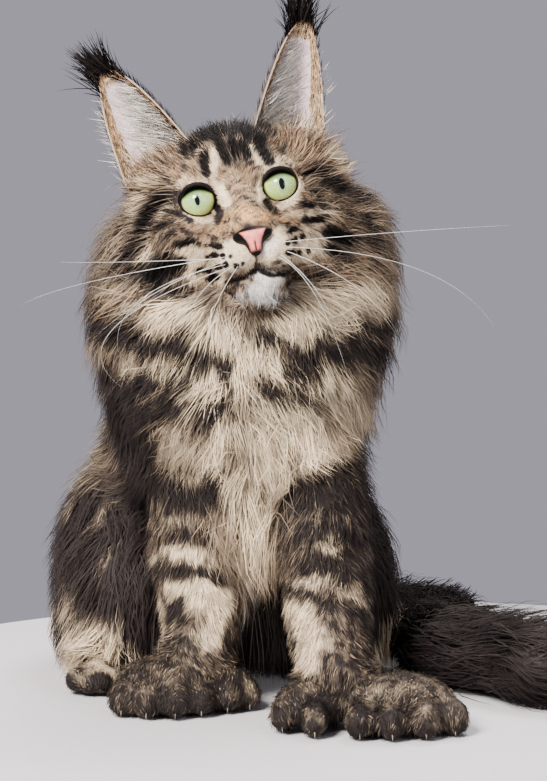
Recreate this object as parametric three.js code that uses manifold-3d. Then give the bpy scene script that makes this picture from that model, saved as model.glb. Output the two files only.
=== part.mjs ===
// A young Maine Coon cat, life size, sitting upright on broad many-toed paws with its head tilted.
// Millimetres, +Z up. The cat faces -Y, and +X is its own left. The floor is at Z = 0.
import * as THREE from "three";
import { mergeVertices } from "three/addons/utils/BufferGeometryUtils.js";
import Module from "manifold-3d";

const wasm = await Module();
wasm.setup();
const { Manifold } = wasm;

// Driving dimensions
const GAP = 0.35; // between touching pieces
const CORE_SHARE = 0.48; // of the coat's depth that the core under the locks fills
const HEAD_AT = [-22, -29, 298]; // middle of the skull
const HEAD_TURN = { pitch: 8, yaw: 5.5, roll: 11.2 }; // degrees: chin up, to its left, left ear up
const BODY_AT = [-16, -30, 0]; // under the breastbone
const BODY_YAW = 11; // degrees that the rump swings to its right
const EYE = { out: 24.5, forward: 31, up: 4, radius: 11.5 };
const EYE_SLIT = { width: 22.5, height: 20.5, slant: 14 }; // the opening between the lids
const EAR = { half: 25, cup: 23, thick: 2.8 };

const SIDES = { right: -1, left: 1 }; // the cat's own sides, and the sign of X

const vec = (a) => new THREE.Vector3(a[0], a[1], a[2]);
const rad = THREE.MathUtils.degToRad;
const mix = THREE.MathUtils.lerp;

// A repeatable source of variation, from -1 to 1
function variation(seed) {
  let state = seed >>> 0;
  return () => {
    state = (state + 0x6d2b79f5) >>> 0;
    let t = Math.imul(state ^ (state >>> 15), 1 | state);
    t = (t + Math.imul(t ^ (t >>> 7), 61 | t)) ^ t;
    return ((t ^ (t >>> 14)) >>> 0) / 2147483648 - 1;
  };
}

// Frames: the head's tilt and the body's swing
const headFrame = new THREE.Matrix4()
  .makeRotationFromEuler(
    new THREE.Euler(-rad(HEAD_TURN.pitch), -rad(HEAD_TURN.roll), rad(HEAD_TURN.yaw), "YZX"),
  )
  .setPosition(...HEAD_AT);
const bodyFrame = new THREE.Matrix4().makeRotationZ(rad(BODY_YAW)).setPosition(...BODY_AT);
const catFrame = new THREE.Matrix4();
const bodyPoint = (p) => vec(p).applyMatrix4(bodyFrame);
const bodyWay = (p) => vec(p).transformDirection(bodyFrame);
const headPoint = (p) => vec(p).applyMatrix4(headFrame);
const headWay = (p) => vec(p).transformDirection(headFrame);

// Signed distances, negative inside, as functions of a point's x, y and z
function ball(c, r, grow = 0) {
  const [rx, ry, rz] = (Array.isArray(r) ? r : [r, r, r]).map((v) => v + grow);
  return (x, y, z) => {
    const [a, b, d] = [(x - c[0]) / rx, (y - c[1]) / ry, (z - c[2]) / rz];
    const near = Math.hypot(a, b, d);
    const slope = Math.hypot(a / rx, b / ry, d / rz);
    return slope < 1e-9 ? -Math.min(rx, ry, rz) : (near * (near - 1)) / slope;
  };
}

function limb(a, b, ra, rb) {
  const [ux, uy, uz] = [b[0] - a[0], b[1] - a[1], b[2] - a[2]];
  const length2 = ux * ux + uy * uy + uz * uz;
  return (x, y, z) => {
    const [px, py, pz] = [x - a[0], y - a[1], z - a[2]];
    const along = (px * ux + py * uy + pz * uz) / length2;
    const t = Math.min(1, Math.max(0, along));
    return Math.hypot(px - ux * t, py - uy * t, pz - uz * t) - mix(ra, rb, t);
  };
}

// Points of a chain are [x, y, z, skin radius, coat depth].
function chain(points, share, grow = 0) {
  const radius = (p) => p[3] + share * p[4] + grow;
  const links = points.slice(1).map((p, i) => limb(points[i], p, radius(points[i]), radius(p)));
  return (x, y, z) => Math.min(...links.map((link) => link(x, y, z)));
}

function blend(softness, ...fields) {
  return (x, y, z) =>
    fields.reduce((sum, field) => {
      const d = field(x, y, z);
      const h = Math.max(softness - Math.abs(sum - d), 0) / softness;
      return Math.min(sum, d) - (h * h * softness) / 4;
    }, 1e3);
}

function within(frame, field) {
  const m = frame.clone().invert().elements;
  return (x, y, z) =>
    field(
      m[0] * x + m[4] * y + m[8] * z + m[12],
      m[1] * x + m[5] * y + m[9] * z + m[13],
      m[2] * x + m[6] * y + m[10] * z + m[14],
    );
}

function slope(field, p) {
  const e = 0.5;
  return new THREE.Vector3(
    field(p.x + e, p.y, p.z) - field(p.x - e, p.y, p.z),
    field(p.x, p.y + e, p.z) - field(p.x, p.y - e, p.z),
    field(p.x, p.y, p.z + e) - field(p.x, p.y, p.z - e),
  ).normalize();
}
const depthAt = (field, p) => field(p.x, p.y, p.z);

// The nearest point at a height over a field's surface
function settle(field, p, height = 0) {
  const q = p.clone();
  for (let i = 0; i < 4; i++) q.addScaledVector(slope(field, q), height - depthAt(field, q));
  return q;
}

// How far a ray from inside a field runs before it leaves
function reach(field, from, way) {
  let t = 0;
  for (let i = 0; i < 80; i++) {
    const d = field(from.x + way.x * t, from.y + way.y * t, from.z + way.z * t);
    if (d > -0.01) break;
    t += Math.max(-d * 0.9, 0.05);
  }
  return Math.max(t, 0.5);
}

// Trunk, from the rump to the nape: [lateral, back, up, skin radius, coat depth] in the body's frame
const TRUNK = [
  [0, 166, 58, 46, 24],
  [0, 142, 82, 64, 26],
  [0, 102, 112, 66, 25],
  [0, 66, 152, 56, 25],
  [2, 42, 198, 50, 34],
  [2, 42, 240, 38, 26],
];
// Its swellings of long coat: [place, skin radii, coat depth]
const BREAST = [[2, 18, 186], [49, 40, 36], 38];
const BIB = [
  [0, -2, 158, 30, 30],
  [0, -12, 112, 16, 20],
  [0, -18, 78, 6, 9],
];
const THROAT = [[0, -4, 226], [34, 28, 20], 22];
const RUFF = [
  [[-40, 32, 240], [24, 16, 56], 34],
  [[50, 30, 246], [24, 16, 56], 34],
];
function trunkField(share, grow = 0) {
  const mass = ([at, skin, coat]) => ball(at, skin, share * coat + grow);
  return within(
    bodyFrame,
    blend(
      22,
      chain(TRUNK, share, grow),
      chain(BIB, share, grow),
      mass(BREAST),
      mass(THROAT),
      ...RUFF.map(mass),
    ),
  );
}

// Legs, as chains in the cat's frame
const FORELEG = {
  right: [
    [-45, -22, 146, 20, 6],
    [-48, -34, 120, 24, 7],
    [-46, -48, 82, 23, 8],
    [-43, -64, 46, 20, 8],
    [-47, -73, 26, 18, 7],
  ],
  left: [
    [20, -34, 146, 20, 6],
    [28, -52, 120, 24, 7],
    [31, -78, 84, 23, 8],
    [33, -107, 48, 20, 8],
    [37, -120, 28, 18, 7],
  ],
};
// Front paws: the palm and the thumb's root, then toes as [x, y, radius]
const PAW = {
  right: {
    palm: [[-65, -82, 16], [31, 26, 19]],
    thumb: [[-29, -76, 14], [19, 19, 15]],
    toes: [
      [-89, -96, 10.5],
      [-74, -103, 10.5],
      [-57, -104, 10.5],
      [-42, -98, 10],
      [-27, -88, 9.5],
      [-14, -80, 8.5],
    ],
  },
  left: {
    palm: [[73, -133, 16], [33, 26, 19]],
    thumb: [[23, -131, 15], [24, 21, 16]],
    toes: [
      [5, -142, 9.5],
      [23, -154, 10.5],
      [48, -158, 10.5],
      [66, -161, 10.5],
      [85, -158, 10.5],
      [102, -147, 11],
    ],
  },
};
const TOE = { long: 1.35, tall: 1.15, up: 10 };

// Hind legs in the body's frame
const THIGH = {
  coat: 25,
  masses: [
    [[62, 92, 70], [28, 64, 58]],
    [[62, 40, 64], [22, 24, 24]],
    [[64, 84, 34], [26, 48, 26]],
  ],
};
const HIND_FOOT = {
  right: { hock: [-68, 128], toe: [-91, 22] },
  left: { hock: [58, 126], toe: [64, 30] },
};
const FOOT = { hock: 14, toe: 10, up: 12, coat: 4, toes: 4, spread: 8, toeRadius: 7.5 };

const thighField = (s, share, grow = 0) =>
  within(
    bodyFrame,
    blend(
      18,
      ...THIGH.masses.map(([at, skin]) =>
        ball([s * at[0], at[1], at[2]], skin, share * THIGH.coat + grow),
      ),
    ),
  );

// Tail, from its root to its tip, in the cat's frame. Its coat spreads as it lies.
const TAIL = [
  [-40, 150, 34, 15, 20],
  [-20, 184, 26, 13, 26],
  [28, 196, 20, 11, 25],
  [82, 174, 19, 10, 28],
  [108, 124, 20, 9.5, 32],
  [112, 60, 21, 9, 36],
  [114, -6, 22, 8.5, 39],
  [168, -56, 23, 8, 42],
  [232, -70, 22, 7, 34],
  [264, -62, 19, 5, 20],
];
const TAIL_SPREAD = 1.3; // width against height
function tailField(share, grow = 0) {
  const middle = (z) => 22 + (z - 22) * TAIL_SPREAD;
  const field = chain(TAIL.map(([x, y, z, r, coat]) => [x, y, middle(z), r, coat]), share, grow);
  return (x, y, z) => field(x, y, middle(z)) / TAIL_SPREAD;
}

// Head in its own frame: +X its left, -Y forward. Each mass is [place, radii, coat depth].
const SKULL = {
  middle: [
    [[0, 8, 15], [39, 38, 35], 3],
    [[0, -12, 22], [28, 24, 22], 2],
    [[0, -40, -31], [20, 20, 15], 2],
  ],
  paired: [
    [[27, -12, -10], [19, 24, 20], 4],
    [[31, 3, -24], [18, 22, 23], 9],
    [[37, 14, 23], [21, 22, 19], 4],
  ],
  limbs: [
    [[0, 4, -10], [0, -42, -26], 27, 18],
    [[0, -28, 8], [0, -60, -21], 13, 9],
  ],
};
const LID = { at: [EYE.out, -EYE.forward + 1, EYE.up], size: [14.6, 13.4, 13.8] };
const WHISKER_PAD = { at: [10.5, -54, -37], size: [13, 14, 11.5] };
const onSide = (s, [out, y, z]) => [s * out, y, z];
function headField(grow = 0) {
  const mass = ([at, r, coat], s = 1) => ball([s * at[0], at[1], at[2]], r, coat + grow);
  return within(
    headFrame,
    blend(
      12,
      ...SKULL.middle.map((m) => mass(m)),
      ...SKULL.paired.flatMap((m) => [mass(m, -1), mass(m, 1)]),
      ...SKULL.limbs.map(([from, to, r, end]) => limb(from, to, r + grow, end + grow)),
    ),
  );
}
const jawField = (grow = 0) =>
  within(
    headFrame,
    blend(
      10,
      ball([0, -45, -52], [16, 14, 13], grow),
      limb([0, -38, -48], [0, -4, -38], 17 + grow, 28 + grow),
    ),
  );

// Meshes
function closedMesh(points, triangles) {
  return new THREE.BufferGeometry()
    .setAttribute("position", new THREE.Float32BufferAttribute(points.flatMap((p) => p.toArray()), 3))
    .setIndex(triangles);
}

// Joins rings of equal size into one closed skin between two end points.
function skinRings(first, rings, last) {
  const points = [first, ...rings.flat(), last];
  const n = rings[0].length;
  const triangles = [];
  for (let j = 0; j < n; j++) {
    const k = (j + 1) % n;
    triangles.push(0, 1 + k, 1 + j);
    for (let i = 0; i + 1 < rings.length; i++) {
      const [a, b] = [1 + i * n, 1 + (i + 1) * n];
      triangles.push(a + j, a + k, b + j, a + k, b + k, b + j);
    }
    const end = 1 + (rings.length - 1) * n;
    triangles.push(end + j, end + k, points.length - 1);
  }
  return closedMesh(points, triangles);
}

// A tube round a curve, its wall where the field ends. A round end goes on past the curve's last ring.
function tube({ curve, from = 0, to = 1, rings, sides, field, across, roundFrom, roundTo }) {
  const made = [];
  const wall = (centre, tangent, lean) => {
    const e1 = across.clone().addScaledVector(tangent, -across.dot(tangent)).normalize();
    const e2 = tangent.clone().cross(e1);
    return Array.from({ length: sides }, (_, j) => {
      const turn = (2 * Math.PI * j) / sides;
      const way = e1
        .clone()
        .multiplyScalar(Math.cos(turn))
        .addScaledVector(e2, Math.sin(turn))
        .multiplyScalar(Math.cos(lean))
        .addScaledVector(tangent, Math.sin(lean));
      return centre.clone().addScaledVector(way, reach(field, centre, way));
    });
  };
  const ends = [from, to].map((u) => ({ at: curve.getPointAt(u), way: curve.getTangentAt(u) }));
  const pole = (end, sign) => {
    const way = end.way.clone().multiplyScalar(sign);
    return end.at.clone().addScaledVector(way, reach(field, end.at, way));
  };
  const leans = [rad(62), rad(34)];
  if (roundFrom) for (const lean of leans) made.push(wall(ends[0].at, ends[0].way, -lean));
  for (let i = 0; i < rings; i++) {
    const u = mix(from, to, i / (rings - 1));
    made.push(wall(curve.getPointAt(u), curve.getTangentAt(u), 0));
  }
  if (roundTo) for (const lean of [...leans].reverse()) made.push(wall(ends[1].at, ends[1].way, lean));
  const middle = (ring) =>
    ring.reduce((sum, p) => sum.add(p), new THREE.Vector3()).divideScalar(ring.length);
  return skinRings(
    roundFrom ? pole(ends[0], -1) : middle(made[0]),
    made,
    roundTo ? pole(ends[1], 1) : middle(made[made.length - 1]),
  );
}

// A closed skin round one point, with its rings closest together round the pole.
function pod({ centre, pole, across, rings, sides, field, crowd = 1 }) {
  const e1 = across.clone().addScaledVector(pole, -across.dot(pole)).normalize();
  const e2 = pole.clone().cross(e1);
  const at = (lean, turn) => {
    const way = pole
      .clone()
      .multiplyScalar(Math.cos(lean))
      .addScaledVector(e1, Math.sin(lean) * Math.cos(turn))
      .addScaledVector(e2, Math.sin(lean) * Math.sin(turn));
    return centre.clone().addScaledVector(way, reach(field, centre, way));
  };
  const made = [];
  for (let i = rings; i >= 1; i--) {
    const lean = Math.PI * Math.pow(i / (rings + 1), crowd);
    made.push(Array.from({ length: sides }, (_, j) => at(lean, (2 * Math.PI * j) / sides)));
  }
  return skinRings(at(Math.PI, 0), made, at(0, 0));
}

function ellipsoid(at, r, grow = 0, wide = 7, high = 5) {
  const [rx, ry, rz] = Array.isArray(r) ? r : [r, r, r];
  return new THREE.SphereGeometry(1, wide, high)
    .rotateX(Math.PI / 2)
    .scale(rx + grow, ry + grow, rz + grow)
    .translate(...at);
}

// Solids
const GRID = 1e-3; // every corner lies on it, so that near ones are one
function solid(geometry, frame = catFrame) {
  const bare = new THREE.BufferGeometry().setIndex(geometry.index);
  bare.setAttribute("position", geometry.getAttribute("position").clone());
  const places = bare.applyMatrix4(frame).getAttribute("position").array;
  places.forEach((v, i) => (places[i] = Math.round(v / GRID) * GRID));
  const merged = mergeVertices(bare, GRID / 10);
  const corners = merged.index.array;
  const triVerts = [];
  for (let i = 0; i < corners.length; i += 3) {
    const [a, b, c] = corners.slice(i, i + 3);
    if (a !== b && b !== c && c !== a) triVerts.push(a, b, c);
  }
  return new Manifold(
    new wasm.Mesh({
      numProp: 3,
      vertProperties: merged.attributes.position.array,
      triVerts: new Uint32Array(triVerts),
    }),
  );
}

const join = (solids) => (solids.length > 1 ? Manifold.union(solids) : solids[0]);
function geometryOf(made) {
  const { numProp, vertProperties, triVerts } = made.getMesh();
  return new THREE.BufferGeometry()
    .setAttribute("position", new THREE.BufferAttribute(vertProperties, numProp))
    .setIndex(new THREE.BufferAttribute(triVerts, 1));
}
const largest = (made) => made.decompose().sort((a, b) => b.volume() - a.volume())[0];

// Locks. What a lock lies on is the whole animal's core, so that it drapes over its neighbours too.
const cores = [
  trunkField(CORE_SHARE),
  headField(),
  jawField(),
  ...Object.values(SIDES).map((s) => thighField(s, CORE_SHARE)),
  ...Object.values(FORELEG).map((points) => chain(points, 1)),
  tailField(CORE_SHARE),
];
const ground = blend(18, ...cores);
const LOCK = {
  steps: [0, 0.36, 0.72], // where its rings lie along it
  width: [0.75, 1, 0.68],
  thick: [1, 1, 0.7],
};
const LOCK_GROWN = { side: 3, face: 0.45, end: 4 }; // how much wider, thicker and longer a cutter is

// A tapered body over stations of a middle, a normal and an edge on each side, with a point at its end
function lockForm({ stations, tip, width, thick }, grow) {
  const [side, face, end] = grow ? [LOCK_GROWN.side, LOCK_GROWN.face, LOCK_GROWN.end] : [0, 0, 0];
  const rings = stations.map(({ at, up, edge }, i) => {
    const half = (width / 2) * LOCK.width[i];
    const rise = Math.max(0.4, (thick / 2) * LOCK.thick[i]);
    const [left, right] = [edge(-half, -rise), edge(half, -rise)];
    const out = left.clone().sub(right).setLength(side);
    return [
      left.add(out).addScaledVector(up, -face),
      at.clone().addScaledVector(up, rise + face),
      right.sub(out).addScaledVector(up, -face),
    ];
  });
  const last = stations[stations.length - 1].at;
  const point = tip.clone().addScaledVector(tip.clone().sub(last).normalize(), end);
  const root = rings[0].reduce((sum, p) => sum.add(p), new THREE.Vector3()).divideScalar(3);
  return solid(skinRings(root, rings, point));
}

// A lock that would fold over itself in a crease is made narrower, or left out.
const FOLD = 1; // cubic mm of a lock that may stand out of its cutter
function unfolded(locks) {
  const sound = (lock) => lockForm(lock, 0).subtract(lockForm(lock, GAP)).volume() < FOLD;
  const narrower = (lock) => [1, 0.75, 0.5].map((share) => ({ ...lock, width: lock.width * share }));
  return locks.map((lock) => narrower(lock).find(sound)).filter(Boolean);
}

// A lock that lies along a coat: it starts sunk in the core and rises to its tip
function laidLock({ seat, lie, length, width, thick, sink, rise }) {
  const stations = [];
  let foot = settle(ground, seat);
  let gone = 0;
  const height = (t) => mix(-sink, rise, Math.pow(t, 0.6));
  const advance = (to) => {
    while (gone < to - 1e-6) {
      const step = Math.min(4, to - gone);
      const up = slope(ground, foot);
      const way = lie(foot, gone);
      way.addScaledVector(up, -way.dot(up)).normalize();
      foot = settle(ground, foot.clone().addScaledVector(way, step));
      gone += step;
    }
  };
  for (const t of LOCK.steps) {
    advance(t * length);
    const [middle, up, high] = [foot.clone(), slope(ground, foot), height(t)];
    const way = lie(foot, gone);
    const across = way.clone().cross(up).normalize();
    const edge = (out, off) =>
      settle(ground, middle.clone().addScaledVector(across, out).addScaledVector(up, high), high + off);
    stations.push({ at: middle.clone().addScaledVector(up, high), up, edge });
  }
  advance(length);
  const tip = foot.clone().addScaledVector(slope(ground, foot), height(1));
  return { stations, tip, width, thick };
}

// A lock in the open: it bends from one way to another
function freeLock({ root, way, bend, face, length, width, thick }) {
  const path = new THREE.QuadraticBezierCurve3(
    root,
    root.clone().addScaledVector(way, length * 0.5),
    root.clone().addScaledVector(way, length * 0.5).addScaledVector(bend, length * 0.5),
  );
  const stations = LOCK.steps.map((t) => {
    const [at, along] = [path.getPointAt(t), path.getTangentAt(t)];
    const across = along.clone().cross(face).normalize();
    const up = across.clone().cross(along).normalize();
    const edge = (out, off) => at.clone().addScaledVector(across, out).addScaledVector(up, off);
    return { at, up, edge };
  });
  return { stations, tip: path.getPointAt(1), width, thick };
}

// Where the trunk's locks grow: in tiers round it, from the nape to the rump. Each tier has its middle
// [back, up] in the body's frame, the tilt of its ring, how far its rays rise, and its locks' sizes.
const TIERS = [
  { middle: [30, 268], tilt: 0, lean: 38, count: 8, length: 58, width: 36, side: "back" },
  { middle: [34, 268], tilt: 0, lean: 14, count: 10, length: 72, width: 40, side: "any" },
  { middle: [34, 250], tilt: 0, lean: 0, count: 11, length: 76, width: 42, side: "any" },
  { middle: [20, 238], tilt: 0, lean: 0, count: 10, length: 62, width: 38, side: "front" },
  { middle: [34, 222], tilt: 0, lean: 0, count: 12, length: 78, width: 42, side: "any" },
  { middle: [30, 196], tilt: 0, lean: 0, count: 10, length: 66, width: 38, side: "front" },
  { middle: [44, 178], tilt: 0, lean: 0, count: 12, length: 66, width: 39, side: "any" },
  { middle: [36, 152], tilt: 0, lean: 0, count: 10, length: 60, width: 34, side: "front" },
  { middle: [22, 128], tilt: 0, lean: 0, count: 8, length: 54, width: 28, side: "front" },
  { middle: [4, 104], tilt: 0, lean: 0, count: 7, length: 46, width: 19, side: "front" },
  { middle: [74, 150], tilt: 46, lean: 0, count: 11, length: 56, width: 40, side: "back" },
  { middle: [100, 128], tilt: 45, lean: 0, count: 11, length: 56, width: 40, side: "back" },
  { middle: [120, 104], tilt: 36, lean: 0, count: 11, length: 54, width: 40, side: "back" },
  { middle: [134, 82], tilt: 20, lean: 0, count: 11, length: 52, width: 40, side: "back" },
  { middle: [140, 60], tilt: 4, lean: 0, count: 10, length: 44, width: 38, side: "back" },
];
const FACES = { front: (back) => back < -0.25, back: (back) => back > -0.3, any: () => true };
const LOCK_DEPTH = { sink: 6, thick: 7 };
const DOWN = vec([0, 0, -1]);
const THIGH_LOCKS = {
  rows: [110, 83, 55], // heights
  count: 4,
  arc: [-102, 84], // degrees, from its front round its outside to its back
  length: 62,
  width: 41,
};
const TAIL_LOCKS = { rings: 3, round: 4, arc: 124, length: 56, width: 33 };
const CHEEK_LOCKS = {
  rays: [
    [1, -0.1, -0.1],
    [1, -0.2, -0.45],
    [0.9, -0.25, -0.8],
  ],
  length: 44,
  width: 32,
  rise: 11,
};

// The coat falls, and sweeps back along the flanks.
function coatLie(seat, turn) {
  const outward = vec([seat.x - BODY_AT[0], seat.y - BODY_AT[1], 0]).normalize();
  return (p) =>
    DOWN.clone()
      .addScaledVector(bodyWay([0, 1, 0]), 0.5 * (1 - THREE.MathUtils.smoothstep(p.z, 110, 200)))
      .addScaledVector(outward, 0.12)
      .addScaledVector(bodyWay([1, 0, 0]), turn);
}

function trunkLocks() {
  const vary = variation(11);
  const field = trunkField(CORE_SHARE);
  const hidden = [headField(3), jawField(3), ...cores.slice(3, 5), cores[7]];
  const found = [];
  TIERS.forEach(({ middle, tilt, lean, count, length, width, side }, tier) => {
    const from = bodyPoint([0, ...middle]);
    const back = bodyWay([0, Math.cos(rad(tilt)), Math.sin(rad(tilt))]);
    for (let i = 0; i < count; i++) {
      const turn = (2 * Math.PI * (i + (tier % 2) / 2 + 0.25 + 0.16 * vary())) / count;
      const [size, wide, swing] = [1 + 0.12 * vary(), 1 + 0.1 * vary(), 0.18 * vary()];
      if (!FACES[side](Math.sin(turn))) continue;
      const way = bodyWay([1, 0, 0])
        .multiplyScalar(Math.cos(turn))
        .addScaledVector(back, Math.sin(turn))
        .multiplyScalar(Math.cos(rad(lean)))
        .addScaledVector(vec([0, 0, 1]), Math.sin(rad(lean)));
      const seat = from.clone().addScaledVector(way, reach(field, from, way));
      if (seat.z < 14 || hidden.some((other) => depthAt(other, seat) < 0)) continue;
      const coat = depthAt(trunkField(1), seat);
      found.push({
        seat,
        ...laidLock({
          seat,
          lie: coatLie(seat, swing),
          length: length * size,
          width: width * wide,
          ...LOCK_DEPTH,
          rise: -coat * 0.92,
        }),
      });
    }
  });
  return unfolded(found);
}

// Locks over a thigh: spread evenly over its outer side
function thighLocks(s) {
  const vary = variation(s < 0 ? 23 : 29);
  const field = thighField(s, CORE_SHARE);
  const [at, skin] = THIGH.masses[0];
  const hidden = [cores[0], ...cores.slice(5)];
  const found = [];
  THIGH_LOCKS.rows.forEach((up, row) => {
    const [middle, [wide, long]] = [bodyPoint([s * at[0] * 0.9, at[1] - 6, up]), skin];
    for (let i = 0; i < THIGH_LOCKS.count; i++) {
      const part = (i + (row % 2 ? 0.75 : 0.35) + 0.12 * vary()) / THIGH_LOCKS.count;
      const turn = rad(mix(...THIGH_LOCKS.arc, part));
      const way = bodyWay([s * wide * Math.cos(turn), long * Math.sin(turn), 0]);
      const seat = middle.clone().addScaledVector(way, reach(field, middle, way));
      const [size, broad, swing] = [1 + 0.12 * vary(), 1 + 0.1 * vary(), 0.2 * vary()];
      if (hidden.some((other) => depthAt(other, seat) < 1)) continue;
      const back = bodyWay([0, 1, 0]).multiplyScalar(0.22 + 0.25 * Math.sin(turn) + swing);
      found.push(
        laidLock({
          seat,
          lie: () => DOWN.clone().add(back),
          length: Math.min(THIGH_LOCKS.length * size, up - 2),
          width: THIGH_LOCKS.width * broad,
          ...LOCK_DEPTH,
          rise: THIGH.coat * (1 - CORE_SHARE),
        }),
      );
    }
  });
  return unfolded(found);
}

// Locks along one length of the tail: in rings over all but its underside
function tailLocks(from, to, seed) {
  const vary = variation(seed);
  const field = tailField(CORE_SHARE);
  const curve = new THREE.CatmullRomCurve3(TAIL.map(vec), false, "centripetal");
  const total = curve.getLength();
  const { rings, round, arc, length, width } = TAIL_LOCKS;
  const hidden = [cores[0], ...cores.slice(3, 7)];
  const found = [];
  for (let i = 0; i < rings; i++) {
    const u = mix(from, to, (i + 0.35) / rings);
    const [centre, along] = [curve.getPointAt(u), curve.getTangentAt(u)];
    const out = along.clone().cross(DOWN).normalize();
    for (let j = 0; j < round; j++) {
      const turn = rad(mix(-arc, arc, (j + 0.5 + (i % 2 ? 0.25 : -0.25)) / round)) + 0.1 * vary();
      const way = out.clone().multiplyScalar(Math.sin(turn)).addScaledVector(DOWN, -Math.cos(turn));
      const seat = centre.clone().addScaledVector(way, reach(field, centre, way));
      const [size, wide] = [1 + 0.14 * vary(), 1 + 0.1 * vary()];
      if (seat.z < 9 || hidden.some((other) => depthAt(other, seat) < 1)) continue;
      const swing = way.clone().addScaledVector(DOWN, 0.5).multiplyScalar(0.18);
      found.push(
        laidLock({
          seat,
          lie: (p, gone) => curve.getTangentAt(Math.min(1, u + gone / total)).add(swing),
          length: length * size,
          width: width * wide,
          ...LOCK_DEPTH,
          rise: -depthAt(tailField(1), seat),
        }),
      );
    }
  }
  return unfolded(found);
}

// Locks that fan from the cheeks over the ruff
function cheekLocks() {
  const vary = variation(37);
  const from = headPoint([0, -2, -14]);
  const found = [];
  for (const s of Object.values(SIDES))
    for (const [out, back, up] of CHEEK_LOCKS.rays) {
      const way = headWay([s * out, back, up]);
      const seat = from.clone().addScaledVector(way, reach(headField(), from, way));
      found.push(
        laidLock({
          seat,
          lie: () => headWay([s * (0.75 + 0.1 * vary()), 0.3, up - 0.75]),
          length: CHEEK_LOCKS.length * (1 + 0.1 * vary()),
          width: CHEEK_LOCKS.width,
          sink: 4,
          thick: 5,
          rise: CHEEK_LOCKS.rise,
        }),
      );
    }
  return unfolded(found);
}

// A node's pieces are made twice: as they are, and grown by the gap to cut the nodes that come after.
const nodes = new Map();
function node(name, finish, pieces, cutters = []) {
  const grown = join(pieces(GAP));
  let made = join(pieces(0));
  for (const { grown: cutter, made: other } of cutters.map((cutter) => nodes.get(cutter)))
    made = made.subtract(cutter).subtract(other);
  made = largest(made.trimByPlane([0, 0, 1], 0));
  made = largest(solid(geometryOf(made))); // without what only touches it along an edge
  nodes.set(name, { made, grown, finish });
}

// Finishes
const FINISH = {
  coat: new THREE.MeshStandardMaterial({ color: 0x6f6151, roughness: 0.85 }),
  darkCoat: new THREE.MeshStandardMaterial({ color: 0x3a302a, roughness: 0.85 }),
  ruff: new THREE.MeshStandardMaterial({ color: 0x9a8672, roughness: 0.85 }),
  iris: new THREE.MeshStandardMaterial({ color: 0xb5cf8f, roughness: 0.1 }),
  nose: new THREE.MeshStandardMaterial({ color: 0xc97a76, roughness: 0.5 }),
  ear: new THREE.MeshStandardMaterial({ color: 0xc9b7b0, roughness: 0.8 }),
};

// Eyes and nose
for (const [side, s] of Object.entries(SIDES))
  node(`eye_${side}`, "iris", (grow) => [
    solid(ellipsoid([s * EYE.out, -EYE.forward, EYE.up], EYE.radius, grow, 11, 7), headFrame),
  ]);

const NOSE = { at: [0, -65, -28], size: [10, 7.5, 7.5] };
const NOSTRIL = { at: [5.2, -71.5, -27.5], size: [2.8, 4, 2.2] };
node("nose", "nose", (grow) => {
  const pad = solid(ellipsoid(NOSE.at, NOSE.size, grow, 9, 6), headFrame);
  if (grow) return [pad];
  const holes = Object.values(SIDES).map((s) =>
    solid(ellipsoid(onSide(s, NOSTRIL.at), NOSTRIL.size, 0, 5, 4), headFrame),
  );
  return [pad.subtract(join(holes))];
});

// Head, with the eyes' openings cut through the lids
function eyeOpening(s) {
  const { width, height, slant } = EYE_SLIT;
  const shape = new THREE.Shape();
  shape.absellipse(0, 0, width / 2, height / 2, 0, 2 * Math.PI, false, rad(s * slant));
  const geometry = new THREE.ExtrudeGeometry(shape, { depth: 30, bevelEnabled: false, curveSegments: 7 })
    .rotateX(Math.PI / 2)
    .translate(s * EYE.out, -EYE.forward, EYE.up);
  return solid(geometry, headFrame);
}
const headCentre = headPoint([0, -6, -8]);
const cheeks = cheekLocks();
node(
  "head",
  "coat",
  (grow) => {
    const skull = pod({
      centre: headCentre,
      pole: headWay([0, -1, -0.35]),
      across: headWay([1, 0, 0]),
      rings: 12,
      sides: 20,
      crowd: 1.3,
      field: headField(grow),
    });
    const pairs = Object.values(SIDES).flatMap((s) => [
      ellipsoid(onSide(s, LID.at), LID.size, grow, 10, 6),
      ellipsoid(onSide(s, WHISKER_PAD.at), WHISKER_PAD.size, grow, 9, 6),
    ]);
    const made = join([
      solid(skull),
      ...pairs.map((shape) => solid(shape, headFrame)),
      ...cheeks.map((lock) => lockForm(lock, grow)),
    ]);
    return [grow ? made : made.subtract(join(Object.values(SIDES).map(eyeOpening)))];
  },
  ["eye_right", "eye_left", "nose"],
);
node(
  "lower_jaw",
  "ruff",
  (grow) => [
    solid(
      pod({
        centre: vec([0, -30, -48]).applyMatrix4(headFrame),
        pole: headWay([0, -1, -0.3]),
        across: headWay([1, 0, 0]),
        rings: 6,
        sides: 10,
        field: jawField(grow),
      }),
    ),
  ],
  ["head"],
);

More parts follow.
